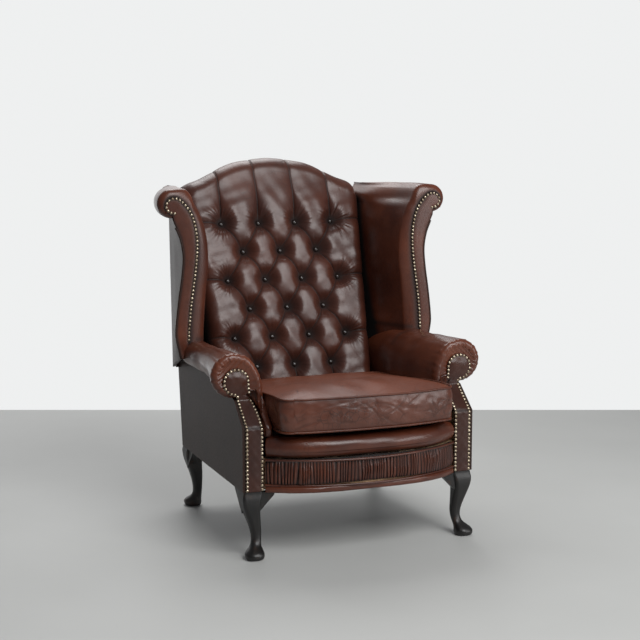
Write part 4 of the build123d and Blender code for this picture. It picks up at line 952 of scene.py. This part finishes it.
@dataclass
class Wing:
    """One wing: inside with its outward scroll, facing strip, outside panel and nails."""

    side: str
    face_y: float = 0.042
    edge: float = 0.020
    foot: float = 0.500
    head: tuple[float, float] = (0.417, 0.950)
    head_radius: float = 0.027
    scroll: tuple[float, float] = (0.421, 0.957)
    scroll_radius: float = 0.043
    rear_scroll: tuple[float, float] = (0.322, 0.968)
    rear_radius: float = 0.024
    nail_pitch: float = 0.0113

    INNER = (
        (0.3370, 0.500), (0.3350, 0.565), (0.3290, 0.633), (0.3210, 0.704), (0.3135, 0.767), (0.3140, 0.830),
        (0.3225, 0.885), (0.3400, 0.932), (0.3530, 0.958), (0.3620, 0.982), (0.3780, 0.998), (0.4000, 1.0015),
        (0.421, 1.000),
    )
    LOW = (
        (0.421, 0.914), (0.400, 0.908), (0.3560, 0.895), (0.3490, 0.850), (0.3610, 0.720), (0.3770, 0.580),
        (0.3784, 0.500),
    )
    STRIP_IN = (
        (0.3784, 0.500), (0.3770, 0.580), (0.3720, 0.650), (0.3610, 0.720), (0.3505, 0.800), (0.3490, 0.850),
        (0.3560, 0.900), (0.3690, 0.935), (0.3936, 0.9635),
    )
    STRIP_OUT = (
        (0.4010, 0.500), (0.4135, 0.560), (0.4135, 0.600), (0.4045, 0.676), (0.3950, 0.738), (0.3895, 0.800),
        (0.3965, 0.848), (0.4085, 0.880), (0.4210, 0.9095),
    )
    NAILS = (
        (0.3785, 0.556), (0.3760, 0.600), (0.3710, 0.650), (0.3640, 0.700), (0.3560, 0.755), (0.3500, 0.810),
        (0.3500, 0.855), (0.3560, 0.895), (0.3660, 0.925), (0.3820, 0.950), (0.4000, 0.967), (0.4200, 0.9725),
        (0.4370, 0.963), (0.4410, 0.947), (0.4320, 0.9335), (0.4160, 0.929),
    )

    def front_section(self) -> tuple[Array, Array]:
        """The scrolled section at the front, and its partner line on the facing strip's edge."""
        low = flowing(self.LOW, 60)[1:]
        inner = flowing(self.INNER, 96)
        front = np.vstack([inner, arc(self.scroll, self.scroll_radius, 90, -90, 40)[1:], low])
        strip = np.vstack([flowing(self.STRIP_IN, 80)[:-1], arc(self.head, self.head_radius, 150, 90, 24)])
        round_head = arc(self.head, self.head_radius, 90, -90, 40)[1:]
        return front, np.vstack([along(strip, 96), round_head, low])

    def rear_section(self, tall: Array) -> Array:
        """The smaller section at the back, whose inner points follow the front's heights."""
        rear_z = self.foot + (tall - self.foot) * 0.492 / 0.500
        reach_in = ease((rear_z - 0.952) / 0.04)
        inner_x = (back_half(tall) - 0.004) * (1 - reach_in) + self.rear_scroll[0] * reach_in
        roll = arc(self.rear_scroll, self.rear_radius, 90, -90, 40)[1:]
        low_z = np.concatenate([np.linspace(0.944, 0.925, 12)[1:], np.linspace(0.925, self.foot, 49)[1:]])
        low = np.stack([back_half(low_z) + 0.028, low_z], axis=-1)
        return np.vstack([np.stack([inner_x, rear_z], axis=-1), roll, low])

    def build(self, leather: Material) -> bpy.types.Object:
        """Cover the inside: straight lines from the scrolled front section to the smaller one at the back.

        The front edge rolls as a quarter ellipse from each section point to its partner on the facing strip's
        edge.
        """
        front, partner = self.front_section()
        count = len(front)
        rear = self.rear_section(front[:96, 1])
        scroll = ease((rear[:, 1] - 0.925) / 0.025)[None, :]
        depth = (0.134 + 0.2488 * rear[:, 1]) * (1 - scroll) + (rear_y(rear[:, 1]) - 0.002) * scroll
        reach = depth - self.face_y
        begin = self.edge / reach
        v = begin + np.linspace(0, 1, 64)[:, None] * (1 - begin)
        late = 0.04 * ease(v / 0.2) + 0.96 * ease((v - 0.10) / 0.80) ** 1.05
        flat = between(front, rear, between(v, late, scroll)[..., None])
        y = self.face_y + v * reach
        ahead = unit(np.gradient(flat, axis=1))
        on_wall = np.zeros(count)
        on_wall[:96] = ease(np.arange(96) / 12.0)
        on_wall[86:96] = 0.5
        on_wall[96:135] = 0.3
        puff = 0.006 * np.sin(math.pi * np.clip(v, 0, 1)) ** 1.2
        puff = puff + 0.0010 * ripple(run_along(front) * 9, y * 9, 17)
        flat = flat + np.stack([-ahead[..., 1], ahead[..., 0]], axis=-1) * (puff * on_wall)[..., None]
        turn = np.radians(np.array([112, 101, 90, 80, 70, 60, 50, 40, 30, 20, 10]))[:, None]
        share = 1 - np.cos(np.minimum(turn, math.pi / 2)) + np.maximum(turn - math.pi / 2, 0) * 0.12
        rolled = between(flat[:1], partner[None], share[..., None])
        points = np.vstack([stood(rolled, self.face_y + self.edge * (1 - np.sin(turn))), stood(flat, y)])
        x, y, z = np.moveaxis(points, -1, 0)
        # Painted shade towards the back, where the wing meets the buttoned back, in a band where it meets the
        # arm roll, and in the groove between the rolled edge and the facing strip.
        deep = ease((y - (back_y(z) - 0.034)) / 0.034) * (z > self.foot) * (x < back_half(z) + 0.034)
        deep = deep * (1 - ease((z - 0.940) / 0.030)) + 0.6 * bell(z - 0.556, 0.008) * (x < 0.36)
        groove = ease((np.degrees(turn) - 62) / 26) * np.ones(count)
        deep[: len(turn)] += 0.95 * groove
        rub = 0.55 * ease((z - 0.93) / 0.06) + 0.30 * bell(y - self.face_y, 0.05)
        cover = Cover()
        deep, rub = np.clip(deep, 0, 1), np.clip(rub, 0, 1)
        cover.grid(on_side(points, self.side), ring=True, lids=True, painted_shade=deep, rub=rub)
        made = cover.piece(f"wing_inside_{self.side}", "chair", leather, "leather")
        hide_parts(f"inside_wing_{self.side}")
        return made

    def build_strip(self, leather: Material) -> bpy.types.Object:
        """Facing strip: rows between its two edges, which run on round the scroll's head and meet."""
        one = np.vstack([flowing(self.STRIP_IN, 110)[:-1], arc(self.head, self.head_radius, 150, -40, 60)])
        two = np.vstack([flowing(self.STRIP_OUT, 110)[:-1], arc(self.head, self.head_radius, -80, -41, 60)])
        share = np.linspace(0, 1, 15)[None, :]
        bulge = dome_across(share)
        flat = between(one[:, None], two[:, None], share[..., None])
        points = stood(flat, self.face_y - 0.0005 - 0.0022 * bulge)
        # Painted shade in the grooves along both edges of the strip.
        groove = 0.95 * (bell(share, 0.14) + 0.8 * bell(1 - share, 0.09))
        cover = Cover()
        cover.grid(on_side(points, self.side), painted_shade=np.clip(groove, 0, 1), rub=0.35 * bulge)
        made = thickened(cover.piece(f"wing_facing_{self.side}", "chair", leather, "leather"), 0.009)
        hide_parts(f"wing_front_{self.side}")
        return made

    def build_nails(self, brass: Material) -> bpy.types.Object:
        """One row of dome nails up the strip's inner edge and round the scroll's head."""
        line = stood(flowing(self.NAILS, 400), self.face_y - 0.0022)
        places = nail_places(line, self.nail_pitch)
        facing = np.tile([[0.0, -1.0, 0.0]], (len(places), 1))
        spots = on_side(places, self.side)
        return studded(f"wing_nails_{self.side}", spots, facing, (0.0048, 0.0035), brass, "nail_brass")

    def build_outside(self, leather: Material) -> bpy.types.Object:
        """Outside panel: straight lines from the strip's outer edge to the outside back, filled out."""
        front = flowing((*self.STRIP_OUT, (0.4240, 0.924), (0.4260, 0.936)), 90)
        share = np.linspace(0, 1, 90)[None, :]
        rear_z = np.linspace(0.4335, 0.966, 90)
        rear = np.stack([0.352 - 0.032 * (rear_z - 0.433) / 0.555, rear_z], axis=-1)
        v = np.linspace(0, 1, 40)[:, None]
        flat = between(front[None], rear[None], v[..., None])
        y = between(self.face_y + 0.003, rear_y(rear_z), v)
        swell = 0.004 * np.sin(math.pi * share) + 0.0008 * ripple(y * 9, flat[..., 1] * 8, 41)
        flat[..., 0] += swell * np.sin(math.pi * v)
        cover = Cover()
        cover.grid(on_side(stood(flat, y), self.side), rub=0.12)
        made = thickened(cover.piece(f"wing_outside_{self.side}", "chair", leather, "leather"), 0.006)
        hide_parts(f"outside_wing_{self.side}")
        path = stood(front[:80] + [0.0005, 0.0], self.face_y + 0.0015)
        bead = Cover()
        bead.tube(on_side(path, self.side), 0.0034, (0, -1, 0.02), 12)
        bead.piece(f"wing_bead_{self.side}", "chair", leather, "leather")
        return made


@dataclass
class Front:
    """The bowed front under the cushion: roll, gathered band and plain lower band."""

    roll_bottom: float = 0.2788
    roll_radius: float = 0.030
    gather_bottom: float = 0.208
    gather_top: float = 0.2713
    fold_pitch: float = 0.0092
    band_middle: float = 0.1925

    def turns(self, count: int) -> tuple[Array, Array]:
        """Angles round the bow from one arm facing to the other, and the runs that they stand for."""
        end = math.asin(BOW_HALF / BOW_RADIUS)
        turn = np.linspace(-end, end, count)[:, None]
        return turn, turn * BOW_RADIUS

    def build_roll(self, leather: Material) -> bpy.types.Object:
        """Half-round roll: a circle in front and a flat back, swept round the bow, with faint wrinkles."""
        turn, run = self.turns(220)
        around = np.radians(np.linspace(-90, 90, 44))
        inset = np.concatenate([self.roll_radius * (1 - np.cos(around)), [0.060, 0.060]])
        face = self.roll_bottom + self.roll_radius * (1 + np.sin(around))
        z = np.concatenate([face, [0.3385, 0.2792]])[None]
        skin = np.concatenate([np.cos(around), [0, 0]])[None]
        fuller = 0.0022 * np.sin(np.clip((run / BOW_HALF + 1) / 2, 0, 1) * math.pi)
        lines = creases(run + 0 * z, z * 2 + 0 * run, 12, 26, 0.002, 0.02, 0.6)
        swell = 0.0010 * ripple(run * 14, z * 20, 51) + fuller - 0.0007 * lines
        # Painted shade on the roll's underside above the gathered band, and a little in its wrinkles.
        deep = np.clip(0.7 * ease((0.290 - z) / 0.011) + 0.10 * lines, 0, 1)
        cover = Cover()
        points = bow_points(turn, inset - swell * skin, z)
        cover.grid(points, ring=True, lids=True, painted_shade=deep, rub=0.25 * skin)
        made = cover.piece("front_bolster", "chair", leather, "leather")
        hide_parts("front_roll")
        return made

    def build_gathers(self, leather: Material) -> bpy.types.Object:
        """Gathered band: folds of uneven width whose phase drifts from the lower seam to the upper one."""
        turn, run = self.turns(1500)
        up = np.linspace(0, 1, 26)[None, :]
        random = np.random.default_rng(7)
        phase = 2 * math.pi * run / self.fold_pitch
        for rate in (31.0, 67.0, 113.0, 171.0):
            for low, part, much in ((0.7, 1.0, rate), (0.6, up - 0.5, rate * 1.3)):
                strength = random.uniform(low, 1.3)
                phase = phase + strength * part * np.sin(much * run + random.uniform(0, FULL_TURN))
        fold = np.abs(np.sin(phase / 2)) ** 0.62
        small = 0.5 + 0.5 * np.sin(phase * 2.3 + 2 * np.sin(60 * run))
        strength = 0.65 + 0.35 * ripple(run * 30, up * 1.5, 9)
        middle = np.sin(math.pi * up)
        height = (0.0068 * fold + 0.0013 * small) * np.clip(strength, 0.45, 1.2) * (0.55 + 0.45 * middle)
        inset = 0.0092 - height - 0.0018 * middle
        face = bow_points(turn, inset, between(self.gather_bottom, self.gather_top, up))
        backing = bow_points(turn, np.array([[0.0112]]), np.array([[0.2790]]))
        # Painted shade in the gaps between the folds and towards both seams; the backing strip behind is
        # painted fully dark, as shade.
        deep = np.clip(1.5 * (1 - fold) ** 1.2 + 0.6 * (1 - middle) ** 4, 0, 1)
        worn = np.clip(fold * strength - 0.35, 0, 1) * 0.7
        cover = Cover()
        cover.grid(
            np.hstack([face, backing]), painted_shade=np.hstack([deep, np.ones(turn.shape)]),
            rub=np.hstack([worn, np.zeros(turn.shape)]),
        )
        made = thickened(cover.piece("gathered_leather", "chair", leather, "leather"), 0.006)
        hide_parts("gathered_band")
        return made

    def build_band(self, leather: Material) -> bpy.types.Object:
        """Plain lower band: a superellipse swept round the bow."""
        turn, run = self.turns(200)
        angle = np.radians(np.arange(0, 360, 12))[None]
        wide = 0.0082 * np.sign(np.cos(angle)) * np.abs(np.cos(angle)) ** 0.6
        tall = 0.0084 * np.sign(np.sin(angle)) * np.abs(np.sin(angle)) ** 0.7
        wave = 0.0004 * ripple(run * 30, angle, 4)
        points = bow_points(turn, 0.0088 - wide - wave, self.band_middle + tall)
        cover = Cover()
        cover.grid(points, ring=True, lids=True, rub=0.4 * (wide > 0))
        made = cover.piece("front_band", "chair", leather, "leather")
        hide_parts("lower_band")
        return made


@dataclass
class Cushion:
    """The loose seat cushion: bowed boxed border, crowned faces and piped edges."""

    half: float = 0.2572
    rear: float = 0.088
    corner: float = 0.038
    low: float = 0.3585
    high: float = 0.4500
    crown: float = 0.0275
    belly: float = 0.0175
    front: float = -0.4490
    nose: float = 0.030
    slope: float = 0.040
    middle: tuple[float, float] = (0.0, -0.165)
    ring: int = 880
    rings: int = 34

    def outline(self) -> tuple[Array, Array]:
        """Plan of the cushion: slightly bowed front, straight sides and four rounded corners.

        Returns:
            Points (ring, 2) and the directions out of the cushion at them.
        """
        reach, inner = self.half - self.nose, self.half - self.corner
        x = np.linspace(-reach, reach, 200)
        bow = np.stack([x, self.front + 0.030 * (np.abs(x) / self.half) ** 2.4], axis=1)
        shoulder = bow[-1][1] + self.nose
        line = np.vstack([
            bow,
            arc((reach, shoulder), self.nose, -76, 0, 16),
            arc((inner, self.rear - self.corner), self.corner, 0, 90, 24),
            arc((-inner, self.rear - self.corner), self.corner, 90, 180, 24),
            arc((-reach, shoulder), self.nose, 180, 256, 16),
        ])
        line = along(np.vstack([line, line[:1]]), self.ring + 1)[:-1]
        line = np.mean([np.roll(line, shift, axis=0) for shift in range(-4, 5)], axis=0)
        ahead = unit(np.roll(line, -3, 0) - np.roll(line, 3, 0))
        return line, np.stack([ahead[:, 1], -ahead[:, 0]], axis=-1)

    def fall(self, y: Array) -> Array:
        """How far the top lies below its front edge: a smooth step towards the back."""
        return self.slope * ease((y + 0.40) / 0.50)

    def border(self, edge: Array, outward: Array) -> tuple[Array, Array, Array]:
        """Rings up the border (rings, ring, 3), with their creases and their wear."""
        share = np.linspace(0, 1, self.rings)[:, None]
        arch = np.sin(math.pi * share)
        run = np.broadcast_to(run_along(edge)[None], (self.rings, self.ring))
        z = np.broadcast_to(between(self.low, self.high, share), run.shape)
        slack = creases(run, z, 61, 190, 0.0019, 0.018, 1.1) * arch**0.5
        long_lines = creases(run, z, 62, 46, 0.0030, 0.050, 0.5) * arch**0.4
        in_front = ease((-0.33 - edge[:, 1]) / 0.06)
        height = 0.0075 * arch**0.7 + 0.0011 * ripple(run * 30, z * 55, 63) * arch
        height = height - (0.0009 * slack + 0.0017 * long_lines) * (0.35 + 0.65 * in_front)
        side = edge + outward * height[..., None]
        points = np.concatenate([side, (z - share * self.fall(edge[:, 1]))[..., None]], axis=-1)
        # Painted shade in the wrinkles and beside both piped edges.
        fold = 0.30 * slack + 0.35 * long_lines + 0.8 * (1 - arch) ** 6
        return points, fold, np.clip(0.45 - 0.35 * slack, 0, 1)

    def top(self, edge: Array) -> tuple[Array, Array, Array]:
        """Rings over the upper face, with their creases and their wear."""
        out = np.linspace(1, 0, 64)[1:-1][:, None]
        plan = self.middle + (edge - self.middle)[None] * out[..., None]
        x, y = plan[..., 0], plan[..., 1]
        hollow = np.exp(-((x / 0.17) ** 2) - ((y + 0.20) / 0.16) ** 2)
        lines = creases(x, y, 65, 60, 0.0024, 0.05, 1.2) * ease((out - 0.55) / 0.3)
        rise = self.crown * (1 - out**2.6) + 0.0012 * ripple(x * 11, y * 11, 64) * (1 - out**4)
        rise = rise - 0.004 * hollow - 0.0006 * lines
        points = np.concatenate([plan, (self.high + rise - self.fall(y))[..., None]], axis=-1)
        # Painted shade in the wrinkles and in a narrow band beside the piping.
        return points, 0.15 * lines + 0.5 * bell(1 - out, 0.012), 0.55 + 0.25 * hollow

    def build(self, leather: Material, border_leather: Material) -> bpy.types.Object:
        """Cover the cushion in rings: up the border, then over each face to its middle.

        The face height is crown * (1 - r ^ 2.6), r being the share of the way out from the middle, with soft
        hollows from use, and the top falls by a smooth step towards the back. The border swells as a sine
        between its two piped edges and is crossed by slack wrinkles.
        """
        edge, outward = self.outline()
        out = np.linspace(1, 0, 18)[1:-1][:, None]
        flat = self.middle + (edge - self.middle)[None] * out[..., None]
        z = np.maximum(self.low - 0.018 * (1 - out**2.2), self.low - self.belly)
        under = np.concatenate([flat, z[..., None] + 0 * flat[..., :1]], axis=-1)[::-1]
        # The underside takes a little painted shade.
        parts = ((under, 0.2, 0.0), self.border(edge, outward), self.top(edge))
        rows = np.vstack([part[0] for part in parts])
        fold, rub = (
            np.vstack([np.broadcast_to(part[k], part[0].shape[:2]) for part in parts]) for k in (1, 2)
        )
        cover = Cover()
        number = cover.grid(rows, ring=True, painted_shade=np.clip(fold, 0, 1), rub=rub)
        sunk = 0.004 * math.exp(-(((self.middle[1] + 0.20) / 0.16) ** 2)) + float(self.fall(self.middle[1]))
        cover.cap(number[-1], (*self.middle, self.high + self.crown - sunk))
        cover.cap(number[0][::-1], (*self.middle, self.low - self.belly))
        made = cover.piece("seat_cushion_cover", "cushion", leather, "cushion_leather")
        made.data.materials.append(border_leather)
        row = np.arange(len(made.data.polygons)) // self.ring
        on_border = (row >= len(under) - 1) & (row < len(under) + self.rings)
        made.data.polygons.foreach_set("material_index", on_border.astype(np.int32))
        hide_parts("seat_cushion")
        welts = Cover()
        run = run_along(edge)
        for height, drift, lean in ((self.low, 0.0004, 0.0), (self.high, 0.0008, 1.0)):
            wave = drift * ripple(run * 18, run * 0, 71) - lean * self.fall(edge[:, 1])
            path = np.concatenate([edge + outward * 0.0022, (height + wave)[:, None]], axis=-1)
            welts.tube(path, 0.0031, (0, 0, 1), 10, closed=True)
        piped = welts.piece("cushion_piping", "cushion", leather, "cushion_leather")
        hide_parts("cushion_welts")
        return made


@dataclass
class Deck:
    """The thin pad under the loose cushion."""

    bottom: float = 0.2812
    top: float = 0.3394

    def build(self, lining: Material) -> bpy.types.Object:
        """Pad with rounded edges: rings drawn in as a superellipse towards its top and bottom."""
        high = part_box("seat_deck")[1]
        x_half, y_back = high.x - 0.001, high.y - 0.002
        end = math.asin(x_half / BOW_RADIUS)
        bow = bow_points(np.linspace(-end, end, 90), np.full(90, 0.0632), 0.0)[:, :2]
        line = along(np.vstack([bow, [[x_half, y_back], [-x_half, y_back]], bow[:1]]), 301)[:-1]
        middle = line.mean(axis=0)
        turn = np.radians(np.linspace(-90, 90, 13))[:, None]
        pull = 1 - 0.05 * (1 - np.abs(np.cos(turn)) ** 0.4)
        swing = np.sign(np.sin(turn)) * np.abs(np.sin(turn)) ** 0.5
        z = (self.bottom + self.top) / 2 + (self.top - self.bottom) / 2 * swing
        plan = middle + (line - middle)[None] * pull[..., None]
        points = np.concatenate([plan, np.broadcast_to(z[..., None], (*plan.shape[:2], 1))], axis=-1)
        cover = Cover()
        number = cover.grid(points, ring=True)
        cover.cap(number[-1], (*middle, self.top))
        cover.cap(number[0][::-1], (*middle, self.bottom))
        made = cover.piece("deck_pad", "chair", lining, "lining")
        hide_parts("seat_deck")
        return made


@dataclass
class Studio:
    """Plain pale stage, soft lights and the camera at the photograph's angle."""

    eye: Triple = (-1.622, -4.014, 1.204)
    turn: float = -22.282
    dip: float = 7.93
    lens: float = 81.5625
    horizon: tuple[float, float] = (0.626, 1.473)
    lamps: tuple[tuple[str, Triple, float, float], ...] = (
        ("high_front", (0.6, -3.2, 3.3), 2.3, 125.0),
        ("front_right", (2.7, -3.3, 1.45), 1.9, 52.0),
        ("high_back", (0.3, 1.7, 3.1), 1.8, 48.0),
        ("far_wall", (0.2, 5.2, 1.8), 5.0, 75.0),
    )

    def camera(self) -> None:
        """Camera at chest height, a little above the seat, looking slightly down."""
        data = bpy.data.cameras.new("camera")
        data.sensor_width = 36.0
        data.lens = self.lens
        seen = bpy.data.objects.new("camera", data)
        seen.location = self.eye
        seen.rotation_euler = (math.radians(90 - self.dip), 0.0, math.radians(self.turn))
        bpy.context.scene.collection.objects.link(seen)
        bpy.context.scene.camera = seen

    def lamp(self, name: str, place: Triple, size: float, power: float) -> None:
        """Soft square lamp aimed at the middle of the chair."""
        data = bpy.data.lights.new(name, "AREA")
        data.shape = "SQUARE"
        data.size = size
        data.energy = power
        made = bpy.data.objects.new(name, data)
        aim = np.array([0.0, 0.0, 0.6]) - np.array(place)
        flat = math.hypot(aim[0], aim[1])
        made.location = place
        made.rotation_euler = (math.atan2(flat, -aim[2]), 0.0, math.atan2(-aim[0], aim[1]))
        made.visible_camera = False
        bpy.context.scene.collection.objects.link(made)

    def world(self) -> None:
        """Dim sky for the light, plain pale sky for the camera."""
        world = bpy.data.worlds.new("studio")
        bpy.context.scene.world = world
        world.use_nodes = True
        nodes = Nodes(world.node_tree)
        path = nodes.add("ShaderNodeLightPath").outputs
        both = nodes.add("ShaderNodeMixShader")
        seen = nodes.maths("MAXIMUM", path["Is Camera Ray"], path["Is Transmission Ray"])
        nodes.link(seen, both.inputs[0])
        skies = (((0.93, 0.95, 1.0, 1), 0.17), ((0.86, 0.87, 0.87, 1), 1.0))
        for socket, (colour, strength) in zip(both.inputs[1:], skies):
            sky = nodes.add("ShaderNodeBackground", Color=colour, Strength=strength)
            nodes.link(sky.outputs[0], socket)
        nodes.link(both.outputs[0], nodes.add("ShaderNodeOutputWorld").inputs[0])

    def floor(self) -> None:
        """Grey floor whose far edge, square to the camera, gives the horizon."""
        mesh = bpy.data.meshes.new("floor")
        turn = math.radians(-self.turn)
        ahead, aside = np.array([math.sin(turn), math.cos(turn)]), np.array([math.cos(turn), -math.sin(turn)])
        far, wide, deep = np.array(self.horizon), 6 * aside, 9 * ahead
        corners = [far - wide - deep, far + wide - deep, far + wide, far - wide]
        mesh.from_pydata([(*corner, 0.0) for corner in corners], [], [(0, 1, 2, 3)])
        floor = bpy.data.objects.new("floor", mesh)
        bpy.context.scene.collection.objects.link(floor)
        material, nodes, shader = new_material("floor_paint", Roughness=0.55)
        haze = nodes.texture("Noise", nodes.place(), Scale=1.4, Detail=4.0).outputs["Fac"]
        nodes.link(nodes.mix(haze, (0.46, 0.465, 0.45), (0.55, 0.555, 0.54)), shader.inputs["Base Color"])
        mesh.materials.append(material)

    def build(self) -> None:
        """Camera, lamps, world and floor."""
        self.camera()
        for lamp in self.lamps:
            self.lamp(*lamp)
        self.world()
        self.floor()
        bpy.context.scene.view_settings.view_transform = "Standard"


class Frame:
    """The CAD pieces that keep their shape and take a better finish."""

    KINDS = {
        "leg_front": "ebonised", "leg_rear": "ebonised", "seat_webbing": "webbing", "back_webbing": "webbing",
        "dust_cover": "lining", "band_welts": "leather", "outside_arm": "shaded_side_leather",
        "outside_back": "shaded_side_leather",
    }

    def dress(self, finishes: dict[str, Material]) -> None:
        """Give every carried-over node the finish of its kind; what no kind names is beech."""
        for name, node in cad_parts.items():
            kind = next((kind for start, kind in self.KINDS.items() if name.startswith(start)), "beech")
            node.data.materials.clear()
            node.data.materials.append(finishes[kind])
            node.data.polygons.foreach_set("material_index", np.zeros(len(node.data.polygons), np.int32))


LEATHERS = (
    Leather("leather"),
    Leather(
        "back_leather", body=(0.042, 0.0115, 0.0068), rubbed=(0.125, 0.037, 0.020), gloss=0.39, shine=0.5,
        wax=0.14, wax_rough=0.30,
    ),
    # Near-black copy of the back's leather for the buttons: painted shade of their pits.
    Leather("shaded_button_leather", body=(0.010, 0.0050, 0.0040), rubbed=(0.024, 0.011, 0.008), gloss=0.24),
    Leather(
        "cushion_leather", body=(0.080, 0.0200, 0.0090), rubbed=(0.205, 0.056, 0.025), wear=0.6, gloss=0.42,
        shine=0.30, crease_scale=58.0, crease_depth=1.2, wax=0.14, wax_rough=0.27,
    ),
    Leather(
        "border_leather", body=(0.066, 0.0180, 0.0090), rubbed=(0.175, 0.054, 0.030), wear=0.5, gloss=0.33,
        shine=0.5, crease_scale=58.0, crease_depth=1.0, wax=0.16, wax_rough=0.24,
    ),
    # A darker, duller copy of the leather for the outer sides: painted shade of the sides that face away from
    # the lamps.
    Leather(
        "shaded_side_leather", body=(0.024, 0.0100, 0.0065), rubbed=(0.048, 0.020, 0.012), wear=0.3, gloss=0.50,
        shine=0.28, wax=0.04, wax_rough=0.40,
    ),
    Leather(
        "facing_leather", body=(0.030, 0.0085, 0.0050), rubbed=(0.095, 0.028, 0.014), gloss=0.38, shine=0.38,
        wax=0.12,
    ),
)
EBONISED = Wood(
    "ebonised_wood", dark=(0.0035, 0.003, 0.0028), light=(0.009, 0.007, 0.006), worn=(0.060, 0.028, 0.015),
    wear=0.6, gloss=0.42, varnish=0.12,
)
BEECH = Wood(
    "beech", dark=(0.36, 0.22, 0.12), light=(0.50, 0.33, 0.19), worn=(0.30, 0.18, 0.10), wear=0.3, gloss=0.6,
    varnish=0.0,
)
JUTE = Cloth("jute_webbing", dark=(0.20, 0.13, 0.07), light=(0.42, 0.30, 0.17), threads=240.0)
LINING = Cloth("black_lining", dark=(0.010, 0.010, 0.011), light=(0.035, 0.033, 0.032), threads=420.0)


def main() -> None:
    """Build every piece in order."""
    logging.basicConfig(level=logging.INFO, format="%(name)s: %(message)s")
    hide = hide_group()
    finishes = {kind.name: kind.made(hide) for kind in LEATHERS}
    brass = Brass().made()
    finishes |= {
        "ebonised": EBONISED.made(), "beech": BEECH.made(), "webbing": JUTE.made(), "lining": LINING.made()
    }
    leather = finishes["leather"]
    Frame().dress(finishes)
    back = BackPad()
    back.build(finishes["back_leather"])
    back.build_buttons(finishes["shaded_button_leather"])
    for side in SIDES:
        arm = Arm(side)
        arm.build(leather)
        arm.build_facing(finishes["facing_leather"])
        arm.build_nails(brass)
        wing = Wing(side)
        wing.build(leather)
        wing.build_strip(leather)
        wing.build_nails(brass)
        wing.build_outside(finishes["shaded_side_leather"])
    front = Front()
    front.build_roll(leather)
    front.build_gathers(leather)
    front.build_band(leather)
    Cushion().build(finishes["cushion_leather"], finishes["border_leather"])
    Deck().build(finishes["lining"])
    Studio().build()


if __name__ == "__main__":
    main()
